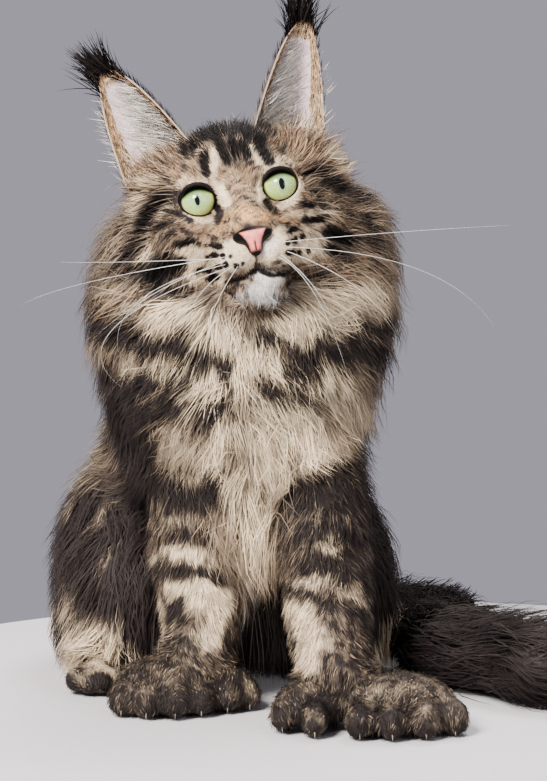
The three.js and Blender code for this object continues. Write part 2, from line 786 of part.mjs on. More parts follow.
// Ears: a cupped sheet from a base in the skull to a round tip
const EAR_BASE = [41, 10, 38];
const EAR_TIP = { right: [61, 5, 99], left: [64, 2, 106] };
function earSheet(side, s, grow) {
  const [base, tip] = [EAR_BASE, EAR_TIP[side]].map((at) => vec(onSide(s, at)));
  const length = tip.distanceTo(base);
  const up = tip.clone().sub(base).normalize();
  const front = vec([s * 0.42, -0.9, 0.05]);
  front.addScaledVector(up, -front.dot(up)).normalize();
  const across = up.clone().cross(front);
  // The middle of the sheet at a height of 0 to 1 and a width of -1 to 1
  const middleAt = (v, w) => {
    const open = Math.pow(1 - THREE.MathUtils.clamp(v, 0, 0.985), 0.46);
    const bow = Math.pow(Math.max(0, 1 - w * w), 0.75);
    return base
      .clone()
      .addScaledVector(up, length * v)
      .addScaledVector(across, w * EAR.half * open)
      .addScaledVector(front, -EAR.cup * Math.pow(open, 1.4) * bow);
  };
  const normalAt = (v, w) => {
    const e = 0.02;
    const wide = middleAt(v, Math.min(w + e, 0.999)).sub(middleAt(v, Math.max(w - e, -0.999)));
    const tall = middleAt(Math.min(v + e, 0.97), w).sub(middleAt(v - e, w));
    return wide.cross(tall).normalize();
  };
  const [rows, columns] = [7, 7];
  const face = (offset) =>
    Array.from({ length: rows }, (_, i) => {
      const v = mix(-0.25 - grow / length, 1 + grow / length, i / (rows - 1));
      return Array.from({ length: columns }, (_, j) => {
        const w = mix(-1, 1, j / (columns - 1));
        const rim = across.clone().multiplyScalar(w * grow);
        return middleAt(v, w)
          .add(rim)
          .addScaledVector(normalAt(v, w), offset * (EAR.thick / 2 + grow));
      });
    });
  const [inner, outer] = [face(1), face(-1)];
  const points = [...inner.flat(), ...outer.flat()];
  const at = (sheet, i, j) => sheet * rows * columns + i * columns + j;
  const triangles = [];
  const quad = (a, b, c, d) => triangles.push(a, b, c, a, c, d);
  for (let i = 0; i + 1 < rows; i++)
    for (let j = 0; j + 1 < columns; j++) {
      quad(at(0, i, j), at(0, i, j + 1), at(0, i + 1, j + 1), at(0, i + 1, j));
      quad(at(1, i, j), at(1, i + 1, j), at(1, i + 1, j + 1), at(1, i, j + 1));
    }
  for (let i = 0; i + 1 < rows; i++) {
    quad(at(0, i, 0), at(0, i + 1, 0), at(1, i + 1, 0), at(1, i, 0));
    const e = columns - 1;
    quad(at(0, i, e), at(1, i, e), at(1, i + 1, e), at(0, i + 1, e));
  }
  for (let j = 0; j + 1 < columns; j++) {
    quad(at(0, 0, j), at(1, 0, j), at(1, 0, j + 1), at(0, 0, j + 1));
    const e = rows - 1;
    quad(at(0, e, j), at(0, e, j + 1), at(1, e, j + 1), at(1, e, j));
  }
  return closedMesh(points, triangles);
}

// The tuft on an ear's tip: locks fanned about one way, each [its lean in degrees, its length]
const TUFT = {
  way: { right: [-0.74, 0, 0.67], left: [0.04, 0, 1] },
  locks: [
    [0, 34],
    [-16, 29],
    [17, 27],
  ],
  sunk: 5,
  width: 8,
  thick: 3,
};
function earTuft(side, s) {
  const tip = headPoint(onSide(s, EAR_TIP[side]));
  const face = vec([0, -1, 0]);
  return TUFT.locks.map(([lean, length]) => {
    const way = vec(TUFT.way[side]).normalize();
    const bend = way.clone().applyAxisAngle(face, rad(lean * 1.6));
    way.applyAxisAngle(face, rad(lean));
    const root = tip.clone().addScaledVector(headWay([s * 0.3, 0, 1]), -TUFT.sunk);
    return freeLock({ root, way, bend, face, length, width: TUFT.width, thick: TUFT.thick });
  });
}
for (const [side, s] of Object.entries(SIDES))
  node(
    `ear_${side}`,
    "ear",
    (grow) => [
      solid(earSheet(side, s, grow), headFrame),
      ...earTuft(side, s).map((lock) => lockForm(lock, grow)),
    ],
    ["head"],
  );

// Trunk: one form, parted into hindquarters, chest and neck
const TRUNK_CUTS = {
  waist: { at: [0, 78, 142], way: [0, -0.52, 0.85] },
  collar: { at: [0, 32, 208], way: [0, -0.1, 0.99] },
};
const trunkForm = (grow) =>
  solid(
    pod({
      centre: bodyPoint([0, 68, 142]),
      pole: bodyWay([0, -0.45, 0.9]),
      across: bodyWay([1, 0, 0]),
      rings: 14,
      sides: 18,
      field: trunkField(CORE_SHARE, grow),
    }),
  );
const trunkWhole = [trunkForm(0), trunkForm(GAP)];
function trunkLength(above, below) {
  return (grow) => {
    let made = trunkWhole[grow ? 1 : 0];
    for (const [cut, sign] of [[above, 1], [below, -1]]) {
      if (!cut) continue;
      const way = bodyWay(cut.way).multiplyScalar(sign);
      made = made.trimByPlane(way.toArray(), way.dot(bodyPoint(cut.at)) + GAP / 2 - grow);
    }
    return [made];
  };
}
const headParts = ["head", "lower_jaw", "ear_right", "ear_left"];
const { waist, collar } = TRUNK_CUTS;
const over = (cut, p) => bodyWay(cut.way).dot(p.clone().sub(bodyPoint(cut.at)));
const coatLocks = trunkLocks();
const lockSet = (test) => coatLocks.filter(({ seat }) => test(seat));
const withLocks = (core, locks) => (grow) => [...core(grow), ...locks.map((lock) => lockForm(lock, grow))];
const MARGIN = 5; // between a cut and the roots beside it
const neckLocks = lockSet((p) => over(collar, p) > MARGIN);
const chestLocks = lockSet((p) => over(collar, p) < -MARGIN && over(waist, p) > MARGIN);
const rearLocks = lockSet((p) => over(waist, p) < -MARGIN);
node("neck", "ruff", withLocks(trunkLength(collar, null), neckLocks), headParts);
node("chest", "ruff", withLocks(trunkLength(waist, collar), chestLocks), ["neck", "lower_jaw"]);
node("hindquarters", "darkCoat", withLocks(trunkLength(null, waist), rearLocks), ["neck", "chest"]);
const trunkParts = ["neck", "chest", "hindquarters"];

// Front legs and paws
for (const side of Object.keys(SIDES)) {
  const paw = PAW[side];
  node(`front_paw_${side}`, "coat", (grow) => [
    solid(ellipsoid(paw.palm[0], paw.palm[1], grow, 9, 6)),
    solid(ellipsoid(paw.thumb[0], paw.thumb[1], grow, 8, 5)),
    ...paw.toes.map(([x, y, r]) =>
      solid(ellipsoid([x, y, TOE.up], [r, r * TOE.long, r * TOE.tall], grow, 7, 4)),
    ),
  ]);
  const points = FORELEG[side];
  const curve = new THREE.CatmullRomCurve3(points.map(vec), false, "centripetal");
  node(
    `foreleg_${side}`,
    "coat",
    (grow) => [
      solid(
        tube({
          curve,
          rings: 6,
          sides: 8,
          field: chain(points, 1, grow),
          across: vec([1, 0, 0]),
          roundFrom: true,
          roundTo: true,
        }),
      ),
    ],
    [...trunkParts, `front_paw_${side}`],
  );
}

// Hind legs
for (const [side, s] of Object.entries(SIDES)) {
  const { hock, toe } = HIND_FOOT[side];
  const toeWay = vec([toe[0] - hock[0], toe[1] - hock[1], 0]).normalize();
  const toeSide = vec([-toeWay.y, toeWay.x, 0]);
  node(
    `hind_foot_${side}`,
    "darkCoat",
    (grow) => {
      const line = [
        [...hock, FOOT.up + 2, FOOT.hock, FOOT.coat],
        [...toe, FOOT.up - 2, FOOT.toe, FOOT.coat],
      ];
      const curve = new THREE.LineCurve3(vec(line[0]), vec(line[1]));
      const sole = tube({
        curve,
        rings: 2,
        sides: 8,
        field: chain(line, 1, grow),
        across: toeSide,
        roundFrom: true,
        roundTo: true,
      });
      const toes = Array.from({ length: FOOT.toes }, (_, i) => {
        const off = (i - (FOOT.toes - 1) / 2) * FOOT.spread;
        const at = vec([...toe, 9])
          .addScaledVector(toeSide, off)
          .addScaledVector(toeWay, 13 - 0.05 * off * off);
        const r = FOOT.toeRadius;
        return ellipsoid(at.toArray(), [r, r * 1.3, r * 1.1], grow, 6, 4);
      });
      return [sole, ...toes].map((g) => solid(g, bodyFrame));
    },
    trunkParts,
  );
  const locks = thighLocks(s);
  node(
    `thigh_${side}`,
    "darkCoat",
    (grow) => {
      const [at] = THIGH.masses[0];
      return [
        ...locks.map((lock) => lockForm(lock, grow)),
        solid(
          pod({
            centre: bodyPoint([s * at[0], at[1], at[2]]),
            pole: bodyWay([s, 0, 0]),
            across: vec([0, 0, 1]),
            rings: 7,
            sides: 12,
            field: thighField(s, CORE_SHARE, grow),
          }),
        ),
      ];
    },
    [...trunkParts, `hind_foot_${side}`, `foreleg_${side}`, `front_paw_${side}`],
  );
}

// Tail in four lengths
const TAIL_CUTS = [0, 0.3, 0.52, 0.76, 1];
const TAIL_NAMES = ["tail_root", "tail_middle", "tail_end", "tail_tip"];
const tailCurve = new THREE.CatmullRomCurve3(TAIL.map(vec), false, "centripetal");
TAIL_NAMES.forEach((name, i) => {
  const length = tailCurve.getLength();
  const locks = tailLocks(TAIL_CUTS[i], TAIL_CUTS[i + 1], 41 + i);
  node(
    name,
    "darkCoat",
    (grow) => [
      ...locks.map((lock) => lockForm(lock, grow)),
      solid(
        tube({
          curve: tailCurve,
          from: TAIL_CUTS[i] + (i > 0 ? (GAP / 2 - grow) / length : 0),
          to: TAIL_CUTS[i + 1] - (i < 3 ? (GAP / 2 - grow) / length : 0),
          rings: 5,
          sides: 12,
          field: tailField(CORE_SHARE, grow),
          across: vec([0, 0, 1]),
          roundFrom: i === 0,
          roundTo: i === 3,
        }),
      ),
    ],
    [
      ...trunkParts,
      ...TAIL_NAMES.slice(0, i),
      ...["left", "right"].flatMap((side) => [`thigh_${side}`, `hind_foot_${side}`]),
      "foreleg_left",
      "front_paw_left",
    ],
  );
});

// The finished group, its origin under the middle of its box
function meshOf(name, { made, finish }) {
  const geometry = geometryOf(made);
  geometry.computeVertexNormals();
  const mesh = new THREE.Mesh(geometry, FINISH[finish]);
  mesh.name = name;
  return mesh;
}
const cat = new THREE.Group();
for (const [name, entry] of nodes) cat.add(meshOf(name, entry));
const box = new THREE.Box3().setFromObject(cat);
const middle = box.getCenter(new THREE.Vector3());
cat.position.set(-middle.x, -middle.y, -box.min.z);

export default cat;
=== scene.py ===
"""A young Maine Coon cat, life size, sitting upright on broad many-toed paws with its head tilted.

Millimetres in the cat's own frame: +Z up, the cat faces -Y, and +X is its own left. The floor is at Z = 0.
"""

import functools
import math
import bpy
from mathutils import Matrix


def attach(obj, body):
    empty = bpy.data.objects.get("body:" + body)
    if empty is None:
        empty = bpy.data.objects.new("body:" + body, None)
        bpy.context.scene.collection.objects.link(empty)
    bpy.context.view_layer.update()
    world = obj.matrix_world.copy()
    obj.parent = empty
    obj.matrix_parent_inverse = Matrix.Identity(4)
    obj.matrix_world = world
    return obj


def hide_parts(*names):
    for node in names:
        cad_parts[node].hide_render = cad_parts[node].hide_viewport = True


bl_info = {
    "name": "Maine Coon cat",
    "version": (1, 0, 0),
    "blender": (4, 5, 0),
    "location": "View3D > Sidebar > Cat",
    "description": "Skin, eyes, coat and whiskers over the cat's solid frame",
    "category": "Add Mesh",
}

import bpy
import numpy as np
from bpy.props import FloatProperty, FloatVectorProperty, IntProperty, PointerProperty
from mathutils import Matrix, Vector

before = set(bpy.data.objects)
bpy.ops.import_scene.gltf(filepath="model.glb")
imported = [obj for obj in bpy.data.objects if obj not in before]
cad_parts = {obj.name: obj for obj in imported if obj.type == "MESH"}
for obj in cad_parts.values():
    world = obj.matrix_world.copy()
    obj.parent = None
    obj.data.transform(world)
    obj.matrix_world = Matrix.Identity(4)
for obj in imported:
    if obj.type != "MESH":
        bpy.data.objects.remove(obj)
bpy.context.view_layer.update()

# ---- measures, as in the solids

SIDES = {"right": -1, "left": 1}
HEAD_AT = np.array([-22.0, -29.0, 298.0])
HEAD_TURN = (-8.0, -11.2, 5.5)  # about X, Y and Z: chin up, left ear up, face to its left
BODY_AT = np.array([-16.0, -30.0, 0.0])
BODY_YAW = 11.0
CORE_SHARE = 0.48

EYE = {"out": 24.5, "forward": 31.0, "up": 4.0, "radius": 11.5}
EYE_SLIT = {"width": 22.3, "height": 18.8, "slant": 14.0}

TRUNK = [
    [0, 166, 58, 46, 24], [0, 142, 82, 64, 26], [0, 102, 112, 66, 25], [0, 66, 152, 56, 25],
    [2, 42, 198, 50, 34], [2, 42, 240, 38, 26],
]
BIB = [[0, -2, 158, 30, 30], [0, -12, 112, 16, 20], [0, -18, 78, 6, 9]]
TRUNK_MASSES = [
    [[2, 18, 186], [49, 40, 36], 38], [[0, -4, 226], [34, 28, 20], 22],
    [[-40, 32, 240], [24, 16, 56], 34], [[50, 30, 246], [24, 16, 56], 34],
]
FORELEG = {
    "right": [
        [-45, -22, 146, 20, 6], [-48, -34, 120, 24, 7], [-46, -48, 82, 23, 8], [-43, -64, 46, 20, 8],
        [-47, -73, 26, 18, 7],
    ],
    "left": [
        [20, -34, 146, 20, 6], [28, -52, 120, 24, 7], [31, -78, 84, 23, 8], [33, -107, 48, 20, 8],
        [37, -120, 28, 18, 7],
    ],
}
PAW = {
    "right": {
        "palm": [[-65, -82, 16], [31, 26, 19]],
        "thumb": [[-29, -76, 14], [19, 19, 15]],
        "toes": [
            [-89, -96, 10.5], [-74, -103, 10.5], [-57, -104, 10.5], [-42, -98, 10], [-27, -88, 9.5],
            [-14, -80, 8.5],
        ],
    },
    "left": {
        "palm": [[73, -133, 16], [33, 26, 19]],
        "thumb": [[23, -131, 15], [24, 21, 16]],
        "toes": [
            [5, -142, 9.5], [23, -154, 10.5], [48, -158, 10.5], [66, -161, 10.5], [85, -158, 10.5],
            [102, -147, 11],
        ],
    },
}
TOE = {"long": 1.35, "tall": 1.15, "up": 10}
THIGH_COAT = 25
THIGH = [[[62, 92, 70], [28, 64, 58]], [[62, 40, 64], [22, 24, 24]], [[64, 84, 34], [26, 48, 26]]]
HIND_FOOT = {
    "right": {"hock": [-68, 128], "toe": [-91, 22]},
    "left": {"hock": [58, 126], "toe": [64, 30]},
}
FOOT = {"hock": 14, "toe": 10, "up": 12, "toes": 4, "spread": 8, "toe_radius": 7.5}
TAIL = [
    [-40, 150, 34, 15, 20], [-20, 184, 26, 13, 26], [28, 196, 20, 11, 25], [82, 174, 19, 10, 28],
    [108, 124, 20, 9.5, 32], [112, 60, 21, 9, 36], [114, -6, 22, 8.5, 39], [168, -56, 23, 8, 42],
    [232, -70, 22, 7, 34], [264, -62, 19, 5, 20],
]
TAIL_SPREAD = 1.3

SKULL = [
    [[0, 8, 15], [39, 38, 35], 3], [[0, -12, 22], [28, 24, 22], 2], [[0, -40, -31], [20, 20, 15], 2],
]
SKULL_PAIRS = [
    [[27, -12, -10], [19, 24, 20], 4], [[31, 3, -24], [18, 22, 23], 9], [[37, 14, 23], [21, 22, 19], 4],
]
SKULL_LIMBS = [[[0, 4, -10], [0, -42, -26], 27, 18], [[0, -28, 8], [0, -60, -21], 13, 9]]
LID = [[24.5, -30, 4], [13.4, 12.6, 12.4]]
WHISKER_PAD = [[10.5, -54, -37], [13, 14, 11.5]]
NOSE_TIP = np.array([0.0, -72.0, -27.0])

EAR = {"half": 25.0, "cup": 23.0, "thick": 2.2}
EAR_BASE = [41, 10, 38]
EAR_TIP = {"right": [61, 5, 99], "left": [64, 2, 106]}
TUFT_WAY = {"right": [-0.74, 0, 0.67], "left": [0.04, 0, 1]}

VIEW_FAR, VIEW_HIGH = 1400, 276  # how far before the cat, and how high, the photo's camera stood
CAMERA = {"at": (0, -VIEW_FAR, VIEW_HIGH), "pitch": 3.69, "lens": 103.3, "sensor": 36.0}


# ---- frames


def spin(axis, degrees):
    return np.array(Matrix.Rotation(math.radians(degrees), 3, axis))


HEAD = spin("Y", HEAD_TURN[1]) @ spin("Z", HEAD_TURN[2]) @ spin("X", HEAD_TURN[0])
BODY = spin("Z", BODY_YAW)


def head_point(p):
    return np.asarray(p, float) @ HEAD.T + HEAD_AT


def head_way(v):
    return np.asarray(v, float) @ HEAD.T


def to_head(p):
    return (p - HEAD_AT) @ HEAD


def body_way(v):
    return np.asarray(v, float) @ BODY.T


def to_body(p):
    return (p - BODY_AT) @ BODY


def frame_shift():
    """Where the cat's frame stands in the solids' frame, read from the middle of its left eye."""
    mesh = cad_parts["eye_left"].data
    corners = np.array([v.co for v in mesh.vertices])
    middle = np.unique(np.round(corners, 6), axis=0).mean(0) * 1000
    return middle - head_point([EYE["out"], -EYE["forward"], EYE["up"]])


SHIFT = frame_shift()


def metres(p):
    return (np.asarray(p, float) + SHIFT) * 0.001


def unit(v):
    return v / np.maximum(np.linalg.norm(v, axis=-1, keepdims=True), 1e-9)


def ramp(a, b, x):
    t = np.clip((x - a) / (b - a), 0, 1)
    return t * t * (3 - 2 * t)


def mix(a, b, t):
    return a + (b - a) * t


def front_view(p):
    """A point's place as seen from before the cat: across and up, on the plane through its middle."""
    far = VIEW_FAR / (VIEW_FAR + p[:, 1])
    return np.stack([p[:, 0] * far, VIEW_HIGH + (p[:, 2] - VIEW_HIGH) * far], 1)


def behind_view(spot, y):
    """The point at a depth y that lies behind a place in the front view."""
    near = (VIEW_FAR + y) / VIEW_FAR
    return np.array([spot[0] * near, y, VIEW_HIGH + (spot[1] - VIEW_HIGH) * near])


# ---- signed distances, negative inside


def ball(at, radii, grow=0.0):
    at = np.array(at, float)
    r = np.broadcast_to(np.array(radii, float), 3) + grow

    def field(p):
        q = (p - at) / r
        near = np.sqrt((q * q).sum(1))
        q /= r
        return near * (near - 1) / np.maximum(np.sqrt((q * q).sum(1)), 1e-9)

    return field


def limb(a, b, ra, rb):
    a, b = np.array(a, float), np.array(b, float)
    u = b - a
    length2 = u @ u

    def field(p):
        q = p - a
        t = np.clip(q @ u / length2, 0, 1)
        q -= t[:, None] * u
        return np.sqrt((q * q).sum(1)) - (ra + (rb - ra) * t)

    return field


def least(*fields):
    return lambda p: functools.reduce(np.minimum, (f(p) for f in fields))


def chain(points, share, grow=0.0):
    def radius(q):
        return q[3] + share * q[4] + grow

    links = zip(points, points[1:])
    return least(*(limb(a[:3], b[:3], radius(a), radius(b)) for a, b in links))


def blend(softness, *fields):
    def field(p):
        total = fields[0](p)
        for other in fields[1:]:
            d = other(p)
            h = np.maximum(softness - np.abs(total - d), 0) / softness
            total = np.minimum(total, d) - h * h * softness / 4
        return total

    return field


def cut(field, tool, softness=1.0):
    def made(p):
        a, b = field(p), -tool(p)
        h = np.maximum(softness - np.abs(a - b), 0) / softness
        return np.maximum(a, b) + h * h * softness / 4

    return made


def in_head(field):
    return lambda p: field(to_head(p))


def in_body(field):
    return lambda p: field(to_body(p))


def over_floor(field, height=0.4):
    return lambda p: np.maximum(field(p), height - p[:, 2])


def trunk_field(share, grow=0.0):
    masses = [ball(at, skin, share * coat + grow) for at, skin, coat in TRUNK_MASSES]
    return in_body(blend(22, chain(TRUNK, share, grow), chain(BIB, share, grow), *masses))


def thigh_field(s, share, grow=0.0):
    masses = [ball([s * x, y, z], skin, share * THIGH_COAT + grow) for (x, y, z), skin in THIGH]
    return in_body(blend(18, *masses))


def tail_field(share, grow=0.0):
    def spread(z):
        return 22 + (z - 22) * TAIL_SPREAD

    field = chain([[x, y, spread(z), r, coat] for x, y, z, r, coat in TAIL], share, grow)

    def made(p):
        q = p.copy()
        q[:, 2] = spread(q[:, 2])
        return field(q) / TAIL_SPREAD

    return made


def paw_field(side, inset):
    paw = PAW[side]
    lobes = [ball(*paw["palm"], -inset), ball(*paw["thumb"], -inset)]
    toes = [ball([x, y, TOE["up"]], [r, r * TOE["long"], r * TOE["tall"]], -inset * 1.15)
            for x, y, r in paw["toes"]]
    return blend(6, blend(8, *lobes), blend(9, *toes))


def hind_foot_field(side, inset):
    hock, toe = (np.array(HIND_FOOT[side][k] + [0.0]) for k in ("hock", "toe"))
    way = unit(toe - hock)
    across = np.array([-way[1], way[0], 0])
    sole = limb(hock + [0, 0, FOOT["up"] + 2], toe + [0, 0, FOOT["up"] - 2], FOOT["hock"], FOOT["toe"])
    toes = []
    for i in range(FOOT["toes"]):
        off = (i - (FOOT["toes"] - 1) / 2) * FOOT["spread"]
        r = FOOT["toe_radius"]
        at = toe + across * off + way * (13 - 0.05 * off * off) + [0, 0, 9]
        toes.append(ball(at, [r, r * 1.3, r * 1.1], -inset * 0.6))
    return in_body(blend(4, sole, *toes))


def on_side(s, at):
    return [s * at[0], at[1], at[2]]


def skull_field(share, inset=0.0):
    """The head without its lids and whisker pads, in its own frame. share is of the cheeks' coat."""
    masses = [ball(at, r, share * coat - inset) for at, r, coat in SKULL]
    for at, r, coat in SKULL_PAIRS:
        masses += [ball(on_side(s, at), r, share * coat - inset) for s in SIDES.values()]
    limbs = [limb(a, b, ra - inset, rb - inset) for a, b, ra, rb in SKULL_LIMBS]
    return blend(12, *masses, *limbs)


def jaw_field(inset=0.0):
    chin = ball([0, -45, -52], [16, 14, 13], -inset)
    return blend(10, chin, limb([0, -38, -48], [0, -4, -38], 17 - inset, 28 - inset))


def eye_opening(s, grow):
    """An oval tunnel in front of an eye, in the head's frame."""
    lean = math.radians(s * EYE_SLIT["slant"])
    wide, high = EYE_SLIT["width"] / 2 + grow, EYE_SLIT["height"] / 2 + grow

    def field(p):
        x, z = p[:, 0] - s * EYE["out"], p[:, 2] - EYE["up"]
        along = (x * math.cos(lean) + z * math.sin(lean)) / wide
        over = (z * math.cos(lean) - x * math.sin(lean)) / high
        oval = (np.hypot(along, over) - 1) * min(wide, high)
        return np.maximum(oval, p[:, 1] + EYE["forward"])

    return field


def face_field():
    """The head's skin with brows, lids, whisker pads, lips and chin."""
    pads = [ball(on_side(s, WHISKER_PAD[0]), WHISKER_PAD[1], -1.2) for s in SIDES.values()]
    brows = [limb(on_side(s, [12, -31, 16]), on_side(s, [31, -25, 17]), 5.5, 4) for s in SIDES.values()]
    lids = [ball(on_side(s, LID[0]), LID[1], -0.2) for s in SIDES.values()]
    upper = blend(6, blend(10, skull_field(0.3, 0.6), *brows), *pads)
    upper = blend(9, upper, *lids)
    philtrum = limb([0, -70, -32], [0, -66, -44], 1.0, 1.0)
    upper = cut(upper, philtrum, 1.5)
    face = blend(2.2, upper, jaw_field(2.0))
    lips = ([0, -66, -45], [9, -63, -49], [19, -52, -50])
    mouth = least(*(limb(on_side(s, a), on_side(s, b), 0.9, 0.8) for s in SIDES.values()
                    for a, b in zip(lips, lips[1:])))
    face = cut(face, mouth, 1.5)
    for s in SIDES.values():
        eyeball = ball([s * EYE["out"], -EYE["forward"], EYE["up"]], EYE["radius"], 0.35)
        face = cut(cut(face, eye_opening(s, 0.5), 1.6), eyeball, 0.6)
    return in_head(face)


LIMB_FIELDS = {
    "thigh": lambda side: thigh_field(SIDES[side], CORE_SHARE),
    "foreleg": lambda side: chain(FORELEG[side], 0.2),
    "paw": lambda side: paw_field(side, 2.2),
    "hind_foot": lambda side: hind_foot_field(side, 1.5),
}
BODY_PARTS = {
    "trunk": trunk_field(CORE_SHARE),
    **{f"{kind}_{side}": made(side) for kind, made in LIMB_FIELDS.items() for side in SIDES},
    "tail": tail_field(CORE_SHARE),
}
PART_NAMES = list(BODY_PARTS)


# ---- fields on grids, and skins of them


def sampled(field, low, high, cell, coarse=4):
    """A field's values on an even grid, read finely only near its surface."""
    low = np.array(low, float)
    blocks = np.ceil((np.array(high) - low) / (cell * coarse)).astype(int) + 1
    grid = np.stack(np.meshgrid(*(np.arange(n) for n in blocks), indexing="ij"), -1)
    rough = field(low + grid.reshape(-1, 3) * cell * coarse).reshape(blocks)
    near = np.abs(rough) < cell * coarse * 1.6
    values = rough.astype(np.float32)
    for axis in range(3):
        values = np.repeat(values, coarse, axis)
        near = np.repeat(near, coarse, axis)
    spots = np.argwhere(near)
    half = coarse // 2
    for start in range(0, len(spots), 400000):
        part = spots[start : start + 400000]
        values[tuple(part.T)] = field(low + (part - half) * cell)
    return low - half * cell, values


CORNERS = np.array([[i, j, k] for i in (0, 1) for j in (0, 1) for k in (0, 1)])
EDGES = [(a, b) for a in range(8) for b in range(a + 1, 8) if abs(CORNERS[a] - CORNERS[b]).sum() == 1]


def skin_of(field, low, high, cell, settle=2):
    """A closed skin where a field is zero: one corner in each grid cell that the surface crosses."""
    low, values = sampled(field, low, high, cell)
    inside = values < 0
    n = np.array(values.shape) - 1
    count = sum(inside[i : i + n[0], j : j + n[1], k : k + n[2]].astype(np.int8) for i, j, k in CORNERS)
    cells = np.argwhere((count > 0) & (count < 8))
    index = np.full(n, -1, np.int64)
    index[tuple(cells.T)] = np.arange(len(cells))
    at = [values[tuple((cells + c).T)] for c in CORNERS]
    total, crossed = np.zeros((len(cells), 3)), np.zeros(len(cells))
    for a, b in EDGES:
        va, vb = at[a], at[b]
        hit = (va < 0) != (vb < 0)
        t = np.where(hit, va / np.where(hit, va - vb, 1), 0)
        total += np.where(hit[:, None], CORNERS[a] + t[:, None] * (CORNERS[b] - CORNERS[a]), 0)
        crossed += hit
    points = low + (cells + total / crossed[:, None]) * cell
    for _ in range(settle):
        d, way = slope(field, points, cell * 0.4)
        points -= np.clip(d, -cell, cell)[:, None] * way
    quads = []
    for axis in range(3):
        b, c = (axis + 1) % 3, (axis + 2) % 3
        step = np.eye(3, dtype=int)
        one, two = np.moveaxis(inside, axis, 0)[:-1], np.moveaxis(inside, axis, 0)[1:]
        change = np.moveaxis(one != two, 0, axis)
        spots = np.argwhere(change)
        spots = spots[(spots[:, b] > 0) & (spots[:, c] > 0) & (spots[:, b] < n[b]) & (spots[:, c] < n[c])]
        ring = [spots - step[b] - step[c], spots - step[c], spots, spots - step[b]]
        quad = np.stack([index[tuple(q.T)] for q in ring], 1)
        outward = inside[tuple(spots.T)]
        quad[~outward] = quad[~outward][:, ::-1]
        quads.append(quad)
    quads = np.concatenate(quads)
    return points, quads[(quads >= 0).all(1)]


def slope(field, p, e=0.5):
    """A field's value and unit slope at points."""
    way = np.stack([field(p + e * a) - field(p - e * a) for a in np.eye(3)], 1)
    return field(p), unit(way)


class Ground:
    """A field kept on a grid, from which its height and slope are read quickly."""

    def __init__(self, field, low, high, cell):
        self.cell = cell
        self.low, self.values = sampled(field, low, high, cell, 3)

    def read(self, p):
        q = (p - self.low) / self.cell
        i = np.clip(np.floor(q).astype(int), 0, np.array(self.values.shape) - 2)
        f = np.clip(q - i, 0, 1)
        v = [self.values[i[:, 0] + a, i[:, 1] + b, i[:, 2] + c] for a, b, c in CORNERS]
        x, y, z = f.T
        near = [mix(v[c], v[c + 1], z) for c in (0, 2, 4, 6)]
        low, high = mix(near[0], near[1], y), mix(near[2], near[3], y)
        gz = mix(mix(v[1] - v[0], v[3] - v[2], y), mix(v[5] - v[4], v[7] - v[6], y), x)
        gy = mix(near[1] - near[0], near[3] - near[2], x)
        return mix(low, high, x), unit(np.stack([high - low, gy, gz], 1))


@functools.cache
def body_ground():
    """What the long coat lies on: the whole animal, with its creases filled."""
    parts = [BODY_PARTS[k] for k in ("trunk", "thigh_right", "thigh_left", "tail")]
    legs = [BODY_PARTS[k] for k in PART_NAMES if "leg" in k or "paw" in k or "foot" in k]
    head = in_head(blend(8, skull_field(0.5), jaw_field(0)))
    field = blend(9, blend(14, *parts, head), *legs)
    return Ground(field, (-160, -200, -16), (310, 250, 400), 4.0)


@functools.cache
def body_skin():
    field = over_floor(blend(7, *BODY_PARTS.values()))
    return skin_of(field, (-130, -184, -6), (300, 240, 312), 2.5)


@functools.cache
def face_skin():
    return skin_of(face_field(), (-98, -118, 212), (64, 44, 372), 1.0)


def halved(points, quads):
    """A skin's quads as triangles, with each one's middle, normal and area."""
    faces = np.concatenate([quads[:, [0, 1, 2]], quads[:, [0, 2, 3]]])
    a, b, c = (points[faces[:, k]] for k in range(3))
    cross = np.cross(b - a, c - a)
    area = np.linalg.norm(cross, axis=1) / 2
    return faces, (a + b + c) / 3, unit(cross), area


# ---- markings
# Each coat mark is a line in the front view. Its row gives its half width and strength, then its points
# across and up, in mm.


def strokes(rows):
    """Marks from rows of text, kept apart by semicolons."""
    marks = []
    for row in rows.split(";"):
        half, strength, *points = row.split()
        marks.append(([tuple(map(float, p.split(","))) for p in points], float(half), float(strength)))
    return marks


